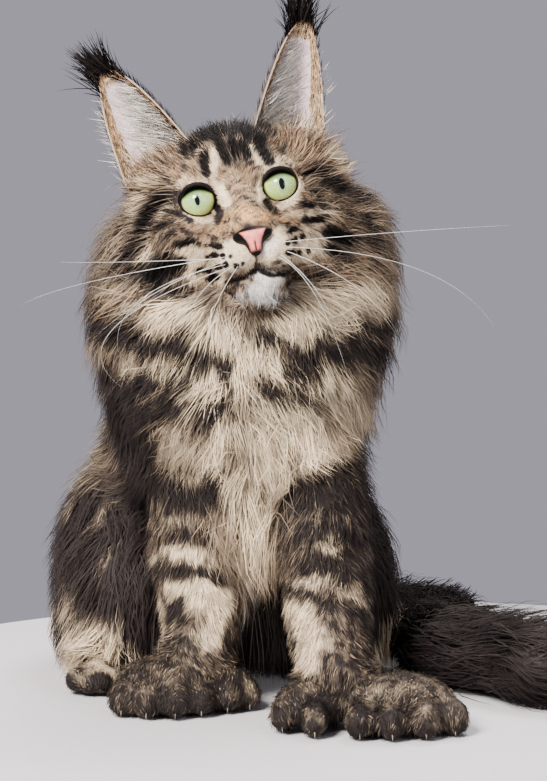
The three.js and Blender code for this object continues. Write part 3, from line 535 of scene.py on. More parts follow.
FACE_DARK = strokes("""
3 1 -43.5,332.4 -42.3,321.7; 2.2 0.6 -55.3,325.1; 4.4 1 -55.2,336.6 -46.2,344.3 -42.8,351.8;
4.6 1 -41.9,345.4 -33.3,350.1 -22.5,350.9 -17.2,348.6; 2.9 1 -33.3,338.5 -28.8,329.2;
2.7 1 -26.8,342.7 -22.7,331; 2.7 1 -19.5,338.5 -15.9,332.4; 3.2 0.85 -35.4,342.2 -26.8,337.4 -19.3,341.1;
3.1 1 -8.8,338.5 -2.5,329.2; 2.2 0.6 5.4,335.6; 4.6 1 -19.3,354.9 -15.5,346.6 -8.8,342;
3.2 0.75 -9,353.2 -1,347.5; 1.9 0.8 -66.6,297.4 -59.1,295.9 -51.6,291.8; 1.8 0.75 -74,286.7 -63.4,290.9;
1.6 0.75 -69.9,280.8 -62.1,285.1; 2.4 0.95 -60,277 -50.7,279.2;
1.8 1 -36.9,302.2 -33.3,297.1 -35.2,290.9; 1.5 0.8 -29.8,290.7; 1.8 1 -4.8,303.8 -1.6,299.9 2.4,297.1;
1 0.5 -10.1,319.8 -10.7,313.4; 1.4 0.9 18.3,302.2 25,301; 1.6 0.75 27,303.8 33.6,300.4;
1.9 0.95 19.4,291.8 31.3,292.9; 1.5 0.5 24.8,309.1 30.4,313.4; 3.2 0.8 29.3,257.5 37.9,252.1;
3 0.8 19.4,253.2 28.2,247.9; 1.9 0.95 -37.1,280.8; 1.8 0.95 -38.2,276.7 -33.3,275.2;
1.9 0.95 -41.4,269.3; 2.1 0.95 -36.5,270.4; 1.8 0.95 -31.6,270; 1.4 0.8 -26.8,269.5;
1.8 0.95 -47.5,260.3 -40.6,260.9; 2.1 0.95 -34.4,262.9; 1.6 0.95 -38.9,257.5 -35.2,256.7;
1.8 0.95 -29.8,264.2; 1.6 0.85 -23.6,263.5; 1.4 0.85 -19.1,265.2; 1.4 0.8 -41.9,254.9 -37.2,255.2;
1.8 0.95 8.7,289.2; 1.8 0.95 10.6,285.2 13.2,286.7; 1.9 0.95 8.7,277.9; 2.1 0.95 13.6,279.6;
1.8 0.95 18.3,281.7; 1.4 0.75 23.9,282.4; 1.8 0.95 9.1,271.5 12.1,272.1; 1.6 0.95 16.4,271.7;
1.6 0.95 21.8,272.7; 1.4 0.6 -1,265 3.5,266.1; 1.4 0.6 6.1,263.5;
1.6 0.9 -10.7,261.5 -16.1,257.5 -22.5,255.2 -29.4,253.2;
1.6 0.85 -9.6,261.5 -2.1,257.9 5.4,258.4 12.1,259.7; 0.5 0.8 -11.1,271.5 -10.8,261.5;
2.6 0.35 -26.8,258.3 -12.8,261.5; 2.6 0.35 -8.5,262.6 5.4,261.5; 1.6 0.6 -23.6,250.2 -26.2,243.8;
4.2 0.75 12.1,251.1 16.4,246.8; 1.6 0.6 1.1,244.8 5.4,240.5; 1.4 0.5 -16.1,251.3 -17.2,243.8;
2.6 0.5 -26.8,235.2 -5.3,233 14,237.3
""")
CHEEK_DARK = strokes("""
4.2 1 -62.1,306.8 -69.9,306.4 -76.8,299.9 -81.7,290.9;
4.8 1 -81.7,290.9 -84.4,282.4 -90.1,274.3 -95,266.3;
5.2 1 -91.8,263.6 -80.6,258.8 -66.6,261.5 -59.5,263.6; 2.2 0.85 -74,269 -64.5,268.5 -56.5,267.2;
2.8 0.9 -80.1,252.4 -69.9,248.9 -53.7,246.8; 2.6 1 19.6,322.4 27,323.5 33.6,319.6;
3.6 1 33.6,319.6 41.2,313.2 50.8,308.7 58.2,306.4; 3.9 0.95 35.8,284 42,281.5 50.8,278.6;
3.6 0.95 50.6,294.2 59.2,289.9 58.2,281.3; 2.8 0.9 35.6,274.2 42.2,270.4
""")
FACE_PALE = strokes("""
1.4 0.8 21.6,296.3 37.7,297.4; 1.8 0.75 25.9,288.6 37.7,290.4; 2.8 0.5 23.7,312.3 33.6,304.8 43.1,296.3;
2 0.5 30.2,310.2 40.9,302.7; 2.9 1 -33.3,311.8 -29.8,303.2; 1.6 0.8 -37.6,315.5 -33.1,311.8;
1.9 0.75 -37.4,335.3 -36.3,328.3 -38.5,319.8; 1.9 0.75 -13.7,336.6 -9.4,328.3;
1.5 0.6 -51.6,315 -41.9,316.4; 2.2 1 -8.5,314.5 -7.5,305.7; 1.5 0.95 -54.6,295 -46.2,291.8 -38.5,291.8;
1.9 0.95 3.3,299.3 12.1,304.6 16.4,312.1 18.6,317.7; 4.6 0.95 -57,271.7 -41.9,269.5;
4 0.9 -54.8,260.9 -41.9,258.8; 7 1 -46.2,266.3 -33.3,266.3 -18.2,268.2; 3.6 1 -27.9,274.9 -19.3,274.9;
3.2 0.9 -51.6,255 -33.3,253.4; 5.2 1 -6.2,271.7 1.4,275.7 5.7,283.2; 6.4 1 6.5,277 18.3,277 30.4,275.4;
3.4 0.9 6.5,268.5 22.7,268.5; 3 0.85 -2.1,266.3 5.4,266.3; 2.4 0.8 24.8,268.2;
2.4 0.8 -83.9,267.2 -77.2,271.5; 3.4 0.8 36.9,335.6 48.7,324.9; 2.8 0.7 -86,307 -90.3,296.3 -91.8,285.6;
1.6 0.7 19.4,286.5 28.2,283.2; 1.6 0.6 -74,294.2 -65.6,300.6; 1.5 0.6 16.2,296.3 9.7,296.3;
2.4 0.5 -5.3,323 3.3,329.4 16.2,328.3; 2 0.5 -59.1,313.4 -54.8,317.7; 3 0.45 -86,315.5 -74,317.7
""")
FACE_WARM = strokes("""
2.6 0.8 -27.9,296.3 -33.3,286.7 -37.6,283.2; 4.6 0.95 -19.3,298.4 -16.1,293.6 -6.4,293.9;
1.6 0.85 1.4,293.9 7.8,291.8; 2.2 0.8 -26.8,289.7 -22.3,287.5; 4.5 0.3 -21.5,318.7;
1.8 0.7 -48.3,290.7 -39.5,290.9; 1.8 0.8 -54.8,295 -41.9,290.9; 1.8 0.8 5.4,299.5 15.1,307;
1.2 0.9 -62.1,305.7 -58,307.8
""")
FACE_WHITE = strokes("""
5.6 1 -10.7,246.8 -2.1,243.8; 4 0.8 -8.5,257.2 1.1,255; 3.4 0.7 -20.4,242.7 8.7,242.7;
3.6 0.7 -8.5,274.9 -2.1,277
""")
# The ruff's dark bands: partly the coat's own dark bands, partly painted shade beneath each tier of long hair.
RUFF_DARK_AND_TIER_SHADE = strokes("""
7 0.95 -116,224 -100,221 -82,216 -62,210 -46,202 -34,198; 6.5 0.95 -106,190 -92,184 -73,188 -64,184;
5 1 -100,173 -82,168 -62,172 -46,171 -30,173; 4.5 1 -5,220 10,213 25,209 44,214 62,222 76,225;
5.5 0.9 14,195 33,203 56,206 72,205; 4.2 0.95 -8,188 3,182 22,179 35,182;
13 0.85 -101,168 -88,146 -82,126 -91,105 -88,82; 7 1 -69,124 -51,115 -40,124;
8 0.55 -120,139 -112,132 -104,123; 9.5 1 26,117 45,128 60,132; 4.5 0.9 22,98 42,101 53,91;
6.5 0.9 62,146 68,119 71,84; 3 0.5 -13,179 -12,168; 3 0.5 -40,168 -51,152; 7 1 -15,32 -6,11 -3,-3
""")
RUFF_PALE = strokes("""
8.5 0.85 -76,237 -51,228 -32,214 -12,210 8,225 35,229 49,233; 6 0.85 -40,214 -24,202 -9,202;
5 0.85 -88,201 -70,195 -59,196; 6 0.95 -57,179 -40,183 -24,187; 4.7 0.95 -1,198 16,190 35,187 49,188;
6.8 1 -32,167 -35,146 -40,132; 12 0.75 -5,171 -5,139; 11 0.85 15,167 29,139; 8 0.5 49,173 56,160;
8 0.4 -59,160 -54,139; 9.5 0.75 -22,119 -13,98 -11,79; 3 0.5 -107,175 -114,157 -119,139;
1.8 0.5 -119,135 -126,126; 1.8 0.4 -101,108 -119,91; 6 0.3 -100,247 -82,239 -70,247; 8 0.6 26,247 69,241
""")
RUFF_WHITE = strokes("""
3.6 0.25 -12,57 -14,41 -8,22
""")
RUFF_WARM = strokes("""
8 0.5 -100,247 -107,230; 16 0.3 -40,157 56,157
""")
LEG_DARK = strokes("""
15 1 41,115 42,76; 5.5 0.85 58,114 61,57; 9 1 -63,117 -40,114; 5.5 1 -63,93 -52,96 -40,92;
5.4 1 -76,73 -56,73 -34,70; 5.5 1 -62,48 -61,41; 2 0.75 -63,26 -46,27 -34,22; 1.8 0.7 -68,18 -49,21;
2.3 0.9 -28,27 -23,22; 8 1 22,118 41,122 56,118; 4.6 1 20,96 34,98; 3.2 0.7 47,101 56,95;
7 1 19,73 33,76 50,74; 4.6 0.8 50,74 61,68; 4.2 0.95 7,59 25,54 41,48 56,41; 4.8 0.8 55,54 62,35 66,16;
1.8 0.7 13,3 25,8; 2 0.85 41,11 61,16; 1.8 0.75 34,0 62,6; 2.3 0.85 42,-6 64,0;
6.2 0.85 -84,95 -79,48 -77,19
""")
LEG_PALE = strokes("""
2.4 0.5 -71,104 -56,105 -40,103; 3.9 1 -66,84 -52,81 -40,79; 2.5 0.7 -84,74 -77,78;
3.7 0.95 -62,60 -42,62 -28,54; 4.7 0.85 -48,51 -31,49; 6 0.8 -37,41 -40,29; 3 0.5 -74,51 -71,32;
1.6 0.4 25,106 34,108; 1.2 0.35 44,109 52,101; 2.2 0.85 30,87 39,86; 1.6 0.6 13,64 34,64 47,61;
3.4 0.8 11,48 19,46; 7 0.8 19,40 27,26 20,13; 1.6 0.5 50,60 58,48; 2.4 0.8 4,41 5,19
""")
LEG_WARM = strokes("""
7 0.5 -37,41 -35,29; 8.5 0.5 19,41 28,22; 3.2 0.7 17,-3
""")
# Dark lines on the paws' fronts, mostly between the toes: partly dark fur on the toes, partly painted shade in
# the creases between them.
PAW_DARK_AND_CREASE_SHADE = strokes("""
1.6 0.9 -94,0 -96,-17; 2.5 1 -76,-9 -71,-22; 7 0.8 -65,-9 -45,-9; 1.5 0.95 -43,-3 -28,5 -21,-2 -21,-14;
4.6 0.65 -37,-9 -28,-13; 2.2 0.95 2,-16 4,-30; 2.8 0.9 14,-16 17,-30; 4.3 1 22,-11 38,-17 39,-32;
4.3 0.9 25,-28; 4.3 0.9 53,-14 56,-30; 3.1 0.9 66,-16 69,-33; 1.6 0.95 80,-9 78,-33; 3 0.8 87,-28 94,-33;
1.5 0.7 103,-16 109,-33
""")
PAW_PALE = strokes("""
3.2 0.7 -98,-16 -80,-22; 2.2 0.7 -15,-3 -12,-14; 2.2 0.7 72,-9 75,-20; 3.6 0.7 59,-5 87,-2 109,-8;
3 0.6 94,-17 100,-25; 2.4 0.6 -6,-16 -3,-25
""")
THIGH_DARK = strokes("""
14 0.95 -90,155 -86,79 -83,28; 5 0.9 -124,129 -108,117; 8 0.9 -133,92 -115,54; 12 0.9 73,129 75,54
""")
THIGH_PALE = strokes("""
2.4 0.45 -113,155 -121,141; 2 0.5 -101,117 -116,98; 2 0.45 -127,117 -133,104; 4 0.4 -102,82 -110,72;
5 0.35 -127,69 -132,47; 9 0.95 -108,25 -103,-4; 8 0.9 -91,18 -90,-4; 8 0.9 -125,22 -122,-4;
4 0.7 -80,15 -81,-1; 5 0.6 -127,28 -130,12
""")


def on_lines(front, lines, edge=0.9):
    """How strongly points in the front view lie on marks: fully within the half width, less at the edge."""
    mask = np.zeros(len(front))
    for points, half, strength in lines:
        points = np.array(points, float)
        if len(points) == 1:
            near = np.hypot(*(front - points[0]).T)
        else:
            near = np.full(len(front), 1e9)
            for a, b in zip(points, points[1:]):
                t = np.clip((front - a) @ (b - a) / ((b - a) @ (b - a)), 0, 1)
                near = np.minimum(near, np.hypot(*(front - a - t[:, None] * (b - a)).T))
        fade = edge + half * 0.35
        mask = np.maximum(mask, strength * (1 - ramp(half - fade / 2, half + fade, near)))
    return mask


def drawn_on(front, facing):
    """Reads marks at points, only as far as the points face the front."""
    return lambda lines, edge=0.9: on_lines(front, lines, edge) * facing


def ripple(p, seed, size):
    """Soft unevenness from -1 to 1, made of a few waves in random directions."""
    rng = np.random.default_rng(seed)
    ways = unit(rng.normal(size=(6, 3)))
    long = size * rng.uniform(0.6, 1.6, 6)
    waves = zip(ways, long, rng.uniform(0, 6.28, 6))
    return sum(np.sin(p @ w * 2 * math.pi / l + f) for w, l, f in waves) / 3


def frayed(p, reach, size):
    """Points in the front view, shifted a little so that marks have uneven edges."""
    shift = np.stack([ripple(p, 51, size), ripple(p, 53, size)], 1)
    return front_view(p) + reach * shift


def face_marks(p, facing):
    """Dark, pale, warm and white shares over the head. facing is 1 on the front and 0 behind."""
    shown = drawn_on(frayed(p, 0.5, 5), facing)
    q = to_head(p)
    dark = np.maximum(shown(FACE_DARK), shown(CHEEK_DARK, 2.0))
    lined = dark
    behind = 0.5 + 0.5 * np.sin(q[:, 0] * 0.4 + 2.2 * ripple(p, 3, 40))
    dark = np.maximum(dark, (1 - facing) * (0.42 + 0.25 * ramp(0.3, 0.8, behind)))
    dark = np.maximum(dark, 0.45 * ramp(0.1, 0.9, ripple(p, 5, 26)) * ramp(30, 55, np.abs(q[:, 0])))
    pale, warm, white = shown(FACE_PALE, 1.6), shown(FACE_WARM, 5.0), shown(FACE_WHITE, 2.0)
    light = 1 - 0.92 * np.maximum.reduce([pale, white, 0.45 * warm])
    flecks = 0.41 + 0.08 * ramp(-20, -40, q[:, 0]) + 0.4 * ripple(p, 7, 5)
    dark = np.maximum(dark, facing * light * flecks)
    return np.stack([dark, np.maximum(pale, 0.1), np.maximum(warm, 0.57 * (1 - lined)), white], 1)


def trunk_marks(p, facing):
    shown = drawn_on(frayed(p, 3.5, 22), facing)
    q = to_body(p)
    # the ruff's dark bands include painted shade under its tiers
    dark = np.maximum(shown(RUFF_DARK_AND_TIER_SHADE, 3.0), shown(CHEEK_DARK, 2.0))
    pale, warm, white = shown(RUFF_PALE, 4.5), shown(RUFF_WARM, 6.0), shown(RUFF_WHITE, 3.0)
    along = q[:, 1] * 0.62 - q[:, 2] * 0.35 + 9 * ripple(p, 8, 90)
    bars = ramp(0.1, 0.75, np.sin(along * 2 * math.pi / 44))
    spine = 1 - ramp(9, 24, np.abs(q[:, 0])) * ramp(170, 60, p[:, 2])
    back = np.maximum(0.5 + 0.42 * bars, 0.9 * spine * ramp(60, 110, q[:, 1]))
    dark = np.maximum(dark, (1 - facing) * back)
    dark = np.maximum(dark, (0.22 + 0.3 * ripple(p, 9, 20)) * (1 - 0.7 * pale))
    return np.stack([dark, pale, np.maximum(warm, 0.2), white], 1)


def thigh_marks(p, facing):
    q = to_body(p)
    sweep = np.hypot(q[:, 1] - 70, q[:, 2] - 40) + 7 * ripple(p, 12, 60)
    bars = ramp(-0.1, 0.8, np.sin(sweep * 2 * math.pi / 38))
    low = (1 - ramp(28, 66, p[:, 2])) * mix(0.4, 1, facing)
    shown = drawn_on(frayed(p, 3.0, 16), facing)
    pale = shown(THIGH_PALE, 2.0)
    dark = 0.9 + 0.12 * bars + 0.1 * ripple(p, 14, 12)
    dark = dark * (1 - 0.85 * low * ramp(-0.9, 0.2, ripple(p, 13, 40)))
    dark = np.maximum(dark * (1 - pale), shown(THIGH_DARK, 3.0))
    pale = np.maximum(0.92 * low, pale)
    inner = ramp(52, 40, np.abs(p[:, 0])) * facing
    dark, pale = np.maximum(dark, 0.95 * inner), pale * (1 - inner)
    return np.stack([dark, pale, 0.35 + 0 * pale, 0 * dark], 1)


def leg_marks(p, facing):
    shown = drawn_on(frayed(p, 2.6, 13), facing)
    dark = shown(LEG_DARK, 2.2) * (0.8 + 0.25 * ripple(p, 16, 9))
    pale, warm = shown(LEG_PALE, 3.0), shown(LEG_WARM, 4.0)
    base = 0.5 + 0.22 * ramp(95, 125, p[:, 2]) + 0.4 * ripple(p, 20, 7)
    dark = np.maximum(dark, facing * base * (1 - 0.6 * pale))
    rings = ramp(0.0, 0.7, np.sin((p[:, 2] + 5 * ripple(p, 15, 50)) * 2 * math.pi / 30))
    dark = np.maximum(dark, (1 - facing) * (0.3 + 0.55 * rings))
    high = ramp(120, 165, p[:, 2])
    dark = np.maximum(dark, 0.6 * high) * (1 - 0.8 * pale)
    return np.stack([dark, pale, np.maximum(warm, 0.2), 0 * dark], 1)


def paw_marks(p, facing):
    clumps = ripple(p, 17, 14)
    toes = np.array([[x, y] for paw in PAW.values() for x, y, _ in paw["toes"]])
    gap = np.abs(p[:, None, 0] - toes[None, :, 0]) + 0.25 * np.abs(p[:, None, 1] - toes[None, :, 1])
    gap = np.sort(gap, 1)
    # painted shade in the creases between the toes, low on the paws
    between = (1 - ramp(0.5, 4.0, gap[:, 1] - gap[:, 0])) * ramp(34, 22, p[:, 2])
    dark = 0.66 + 0.16 * clumps + 0.3 * (1 - ramp(4, 11, p[:, 2]))
    front = frayed(p, 1.5, 8)
    dark = np.maximum(dark, 0.9 * between)
    # dark lines on the paws' fronts, partly painted shade in the toe creases
    dark = np.maximum(dark, on_lines(front, PAW_DARK_AND_CREASE_SHADE, 1.5) * ramp(0.2, -0.2, p[:, 1] + 60))
    pale = np.maximum(0.1 + 0.15 * ripple(p, 19, 6), 0.5 * on_lines(front, PAW_PALE, 3.0))
    dark = dark * (1 - 0.6 * pale)
    return np.stack([np.clip(dark, 0, 1), np.clip(pale, 0, 1), 0.2 + 0 * dark, 0 * dark], 1)


def foot_marks(p, facing):
    top = ramp(9, 22, p[:, 2] + 4 * ripple(p, 22, 14))
    dark = (0.85 + 0.15 * ripple(p, 21, 20)) * (1 - 0.75 * top)
    return np.stack([dark, 0.1 + 0.6 * top, 0.2 + 0 * dark, 0 * dark], 1)


def tail_marks(p, facing):
    dark = 1.05 + 0.12 * ripple(p, 23, 40)
    return np.stack([dark, 0 * dark, 0.2 + 0.1 * ripple(p, 24, 30), 0 * dark], 1)


MARKS = {
    "trunk": trunk_marks, "thigh": thigh_marks, "foreleg": leg_marks,
    "paw": paw_marks, "hind_foot": foot_marks, "tail": tail_marks,
}


def marks_at(p, n, part):
    """Shares of dark, pale, warm and white hair at points, for the number of the body part they are on."""
    facing = ramp(-0.3, 0.1, -n[:, 1])
    if part is None:
        return np.clip(face_marks(p, facing), 0, 1)
    out = np.zeros((len(p), 4))
    for k, name in enumerate(PART_NAMES):
        here = part == k
        if here.any():
            kind = name.rsplit("_", 1)[0] if "_" in name else name
            out[here] = MARKS[kind](p[here], facing[here])
    return np.clip(out, 0, 1)


def part_at(p):
    return np.argmin(np.stack([field(p) for field in BODY_PARTS.values()]), 0)


# ---- the unwrap that skin and coat share

CHART_GRID = 10  # charts along each side of the layout
FACE_REGION = 10  # the body's parts have the numbers below it
CHARTS = {"face": ((-18, -34, 296), 90.0), "body": ((60, 20, 120), 245.0)}  # middle and reach


def unwrap(p, n, part):
    """Places on a flat layout of the skin: a chart for each side of each body part."""
    side = np.argmax(np.abs(n), 1)
    chart = side * 2 + (n[np.arange(len(n)), side] > 0)
    chart = chart + 6 * (np.full(len(p), FACE_REGION) if part is None else part)
    flat = np.stack([np.where(side == 0, p[:, 1], p[:, 0]), np.where(side == 2, p[:, 1], p[:, 2])], 1)
    middle, reach = CHARTS["face" if part is None else "body"]
    centre = np.stack([np.where(side == 0, middle[1], middle[0]), np.where(side == 2, middle[1], middle[2])], 1)
    inside = np.clip((flat - centre) / reach * 0.5 + 0.5, 0.02, 0.98)
    cell = np.stack([chart % CHART_GRID, chart // CHART_GRID], 1)
    return (cell + inside) / CHART_GRID


# ---- meshes

def new_thing(name, data):
    thing = bpy.data.objects.new(name, data)
    bpy.context.scene.collection.objects.link(thing)
    return thing


def add_mesh(name, points, faces, *, marks, growth, uv=None, loop_uv=None, material, replaces=(),
             normals=None):
    """A smooth mesh of triangles or quads, riding on the cat, with its colour shares and its unwrap."""
    old = bpy.data.objects.get(name)
    if old:
        bpy.data.objects.remove(old)
    sides = faces.shape[1]
    mesh = bpy.data.meshes.new(name)
    mesh.vertices.add(len(points))
    mesh.vertices.foreach_set("co", metres(points).astype(np.float32).ravel())
    mesh.loops.add(faces.size)
    mesh.loops.foreach_set("vertex_index", faces.astype(np.int32).ravel())
    mesh.polygons.add(len(faces))
    mesh.polygons.foreach_set("loop_start", np.arange(0, faces.size, sides, dtype=np.int32))
    mesh.polygons.foreach_set("use_smooth", np.ones(len(faces), bool))
    mesh.update(calc_edges=True)
    kept = {"marks": ("COLOR", marks), "growth": ("VECTOR", growth), "custom_normal": ("VECTOR", normals)}
    for title, (kind, values) in kept.items():
        if values is not None:
            held = mesh.attributes.new(title, "FLOAT_" + kind, "POINT")
            held.data.foreach_set(kind.lower(), values.astype(np.float32).ravel())
    layer = mesh.uv_layers.new(name="OFBake")
    if loop_uv is None:
        loop_uv = uv[faces.ravel()]
    layer.data.foreach_set("uv", loop_uv.astype(np.float32).ravel())
    mesh.materials.append(material)
    thing = new_thing(name, mesh)
    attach(thing, "root")
    if replaces:
        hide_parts(*replaces)


def flat_uv(points, faces, part):
    """Each face's corners on the chart that its own middle and normal choose."""
    a, b, c = (points[faces[:, k]] for k in range(3))
    sides = faces.shape[1]
    normal = np.repeat(unit(np.cross(b - a, c - a)), sides, 0)
    part = None if part is None else np.repeat(part[faces[:, 0]], sides)
    return unwrap(points[faces.ravel()], normal, part)


def corner_normals(points, quads):
    a, b, c, d = (points[quads[:, k]] for k in range(4))
    normal = np.cross(c - a, d - b)
    total = np.zeros_like(points)
    for k in range(4):
        np.add.at(total, quads[:, k], normal)
    return unit(total)


# ---- strands

PROFILE = {2: (0.9, 0.75), 3: (0.7, 1.0, 0.62), 4: (0.6, 0.95, 0.9, 0.5)}
STATIONS = {2: (0, 0.5, 1), 3: (0, 0.36, 0.7, 1), 4: (0, 0.26, 0.52, 0.78, 1)}


def scattered(points, quads, weight, count, rng, part=None):
    """Root places spread over a skin in proportion to a weight for each triangle."""
    faces, middle, normal, area = halved(points, quads)
    face_part = None if part is None else part[faces[:, 0]]
    share = area * weight(middle, normal, face_part)
    total = np.cumsum(share)
    pick = np.searchsorted(total, (np.arange(count) + rng.random(count)) / count * total[-1])
    pick = np.minimum(pick, len(faces) - 1)
    u, v = rng.random(count), rng.random(count)
    over = u + v > 1
    u[over], v[over] = 1 - u[over], 1 - v[over]
    a, b, c = (points[faces[pick, k]] for k in range(3))
    roots = a + (b - a) * u[:, None] + (c - a) * v[:, None]
    return roots, normal[pick], None if part is None else face_part[pick]


def grow(roots, lie, length, depth, ground, rings, swing, sink=0.8):
    """Lines that run along the lie of the coat and rise from the skin to their tips."""
    stations = STATIONS[rings]
    base, up = ground.read(roots)
    points = roots - up * sink
    lines = [points]
    for last, t in zip(stations, stations[1:]):
        for _ in range(2):
            _, up = ground.read(points)
            way = unit(lie(points)) + swing
            way -= (way * up).sum(1)[:, None] * up
            points = points + unit(way) * (length * (t - last) / 2)[:, None]
            height, up = ground.read(points)
            goal = mix(base - sink, depth, t**0.75)
            points = points + up * np.clip(goal - height, -6, 6)[:, None]
        lines.append(points)
    return np.stack(lines, 1)


def nearest(roots, guides):
    """For each root, which guide's root is nearest and how far off it is."""
    seats = roots[guides]
    best, far = np.zeros(len(roots), int), np.zeros(len(roots))
    for start in range(0, len(roots), 2000):
        gap = roots[start : start + 2000, None] - seats[None]
        gap = (gap * gap).sum(2)
        best[start : start + 2000] = np.argmin(gap, 1)
        far[start : start + 2000] = np.sqrt(gap.min(1))
    return best, far


def tufts_of(roots, rng, size):
    """Parts roots into tufts of about a size. Each has a guide strand, a reach and chances of its own."""
    count = max(4, len(roots) // size)
    guides = rng.choice(len(roots), count, replace=False)
    index, far = nearest(roots, guides)
    return {"guides": guides, "index": index, "far": far, "reach": 2.2 * np.median(far) + 0.5,
            "chance": rng.random(count)[index], "other": rng.random(count)[index],
            "way": rng.normal(size=(count, 3))[index]}


def drawn(lines, tufts, pull, rng, late=1.3):
    """Draws each strand to its tuft's guide towards the tip."""
    t = np.linspace(0, 1, lines.shape[1])
    guide = lines[tufts["guides"][tufts["index"]]]
    near = np.clip(1 - tufts["far"] / tufts["reach"], 0, 1) ** 0.5
    hold = pull * near[:, None] * t[None] ** late * rng.uniform(0.5, 1.0, (len(lines), 1))
    return lines + (guide - lines) * hold[..., None]


def waved(lines, tufts, size):
    """Lets a tuft sway as one, in its own direction."""
    t = np.linspace(0, 1, lines.shape[1])
    along = unit(lines[:, -1] - lines[:, 0])
    side = unit(np.cross(along, tufts["way"]))
    phase = 6.28 * tufts["chance"]
    sway = np.sin(phase[:, None] + t[None] * 4.2) - np.sin(phase)[:, None]
    return lines + side[:, None] * (size * sway * t[None] ** 0.8)[..., None]


def blades(lines, ups, width, thick):
    """Each line as a closed blade of three faces, flat side down, that tapers to a point."""
    n, stations = lines.shape[:2]
    rings = stations - 1
    way = np.gradient(lines, axis=1)
    across = unit(np.cross(way, ups))
    over = unit(np.cross(across, way))
    shape = np.array(PROFILE[rings])
    half = (width[:, None] * shape[None] / 2)[..., None]
    rise = (thick[:, None] * shape[None])[..., None]
    at, across, over = lines[:, :rings], across[:, :rings], over[:, :rings]
    ring = np.stack([at - across * half, at + over * rise, at + across * half], 2)
    points = np.concatenate([ring.reshape(n, rings * 3, 3), lines[:, -1:]], 1)
    faces = [(0, 2, 1)]
    for k in range(rings - 1):
        for j in range(3):
            a, b = 3 * k + j, 3 * k + (j + 1) % 3
            faces += [(a, b, a + 3), (b, b + 3, a + 3)]
    tip = rings * 3
    faces += [(tip - 3 + j, tip - 3 + (j + 1) % 3, tip) for j in range(3)]
    size = tip + 1
    faces = (np.arange(n)[:, None, None] * size + np.array(faces)[None]).reshape(-1, 3)
    along = np.append(np.repeat(np.array(STATIONS[rings][:rings]), 3), 1.0)
    side = np.append(np.tile([0.0, 0.5, 1.0], rings), 0.5)
    soft = unit(ups[:, :rings] + 0.35 * over)
    soft = np.stack([soft - 0.4 * across, soft, soft + 0.4 * across], 2).reshape(n, rings * 3, 3)
    soft = unit(np.concatenate([soft, ups[:, -1:]], 1))
    return points, faces, along, side, soft


MOST_TRIANGLES = 190000


def add_coat(name, lines, ups, width, thick, marks, patch, chance, start=0.0):
    """Strands as joined meshes, each of a size that stays light to handle."""
    n = len(lines)
    rings = lines.shape[1] - 1
    triangles = 6 * (rings - 1) + 4
    pieces = math.ceil(n * triangles / MOST_TRIANGLES)
    if marks.ndim == 2:
        marks = np.repeat(marks[:, None], rings + 1, 1)
    marks = np.concatenate([np.repeat(marks[:, :rings], 3, 1), marks[:, -1:]], 1)
    for k in range(pieces):
        part = np.arange(n * k // pieces, n * (k + 1) // pieces)
        points, faces, along, side, soft = blades(lines[part], ups[part], width[part], thick[part])
        size = len(along)
        growth = np.empty((len(part), size, 3))
        growth[..., 0] = mix(start, 1, along)
        growth[..., 1] = chance[part][:, None]
        growth[..., 2] = side
        uv = patch[part][:, None] + 0.003 * (np.stack([side, along], 1)[None] - 0.5)
        add_mesh(name if pieces == 1 else f"{name}_{k + 1}", points.reshape(-1, 3), faces,
                 marks=marks[part].reshape(-1, 4), growth=growth.reshape(-1, 3), uv=uv.reshape(-1, 2),
                 material=coat_material(), normals=soft.reshape(-1, 3))


def coat_of(name, roots, normals, part, lie, *, length, depth, width, rings, seed, slot, ground, lock=260,
            tuft=20, pull=0.55, lock_pull=0.3, wave=0.0, wander=0.12, flat=0.4, tiers=0.3,
            ragged=5.0, tick=0.06, round_=0.6):
    """One area of coat: lines grown, drawn into tufts and locks, marked and built."""
    rng = np.random.default_rng(seed)
    n = len(roots)
    locks, tufts = tufts_of(roots, rng, lock), tufts_of(roots, rng, tuft)
    length = length * rng.uniform(0.8, 1.12, n) * (1 + tiers * 0.5 * (locks["other"] - 0.5))
    height = rng.uniform(0.3, 0.95, n) * (1 + tiers * (locks["chance"] - 0.4)) + 0.3 * (tufts["other"] - 0.5)
    height = np.where(rng.random(n) < 0.1, rng.uniform(1.0, 1.35, n), np.maximum(height, 0.12))
    swing = wander * (0.6 * rng.normal(size=(n, 3)) + 0.8 * tufts["way"] + 0.6 * locks["way"])
    lines = grow(roots, lie, length, depth * height, ground, rings, swing)
    lines = drawn(lines, tufts, pull, rng)
    lines = drawn(lines, locks, lock_pull, rng, 2.0)
    if wave:
        lines = waved(waved(lines, tufts, wave * 0.5), locks, wave)
    lines[..., 2] = np.maximum(lines[..., 2], 0.3)
    _, up = ground.read(lines[:, lines.shape[1] // 2])
    aside = lines - lines[tufts["guides"][tufts["index"]]]
    aside = aside / (tufts["reach"] + np.linalg.norm(aside, axis=2, keepdims=True))
    up = unit(up + 0.2 * rng.normal(size=up.shape))[:, None]
    ups = unit(up + round_ * aside)
    width = width * rng.uniform(0.7, 1.3, n)
    drift = ragged * (1.6 * tufts["other"] - 0.8 + 0.5 * rng.normal(size=n))
    spots = lines + (unit(lines[:, -1] - lines[:, 0]) * drift[:, None])[:, None]
    stations = lines.shape[1]
    many = None if part is None else np.repeat(part, stations)
    marks = marks_at(spots.reshape(-1, 3), np.repeat(normals, stations, 0), many).reshape(n, stations, 4)
    light = np.maximum(marks[..., 1], marks[..., 3])
    marks[..., 0] = np.clip(marks[..., 0] + (rng.normal(size=n) * tick)[:, None] * (1 - 0.8 * light), 0, 1)
    chance = 0.25 * locks["chance"] + 0.55 * tufts["chance"] + 0.2 * rng.random(n)
    chance = np.clip(0.5 + 1.35 * (chance - 0.5), 0, 1)
    add_coat(name, lines, ups, width, width * flat, marks, unwrap(roots, normals, part), chance)


# ---- how the coat lies


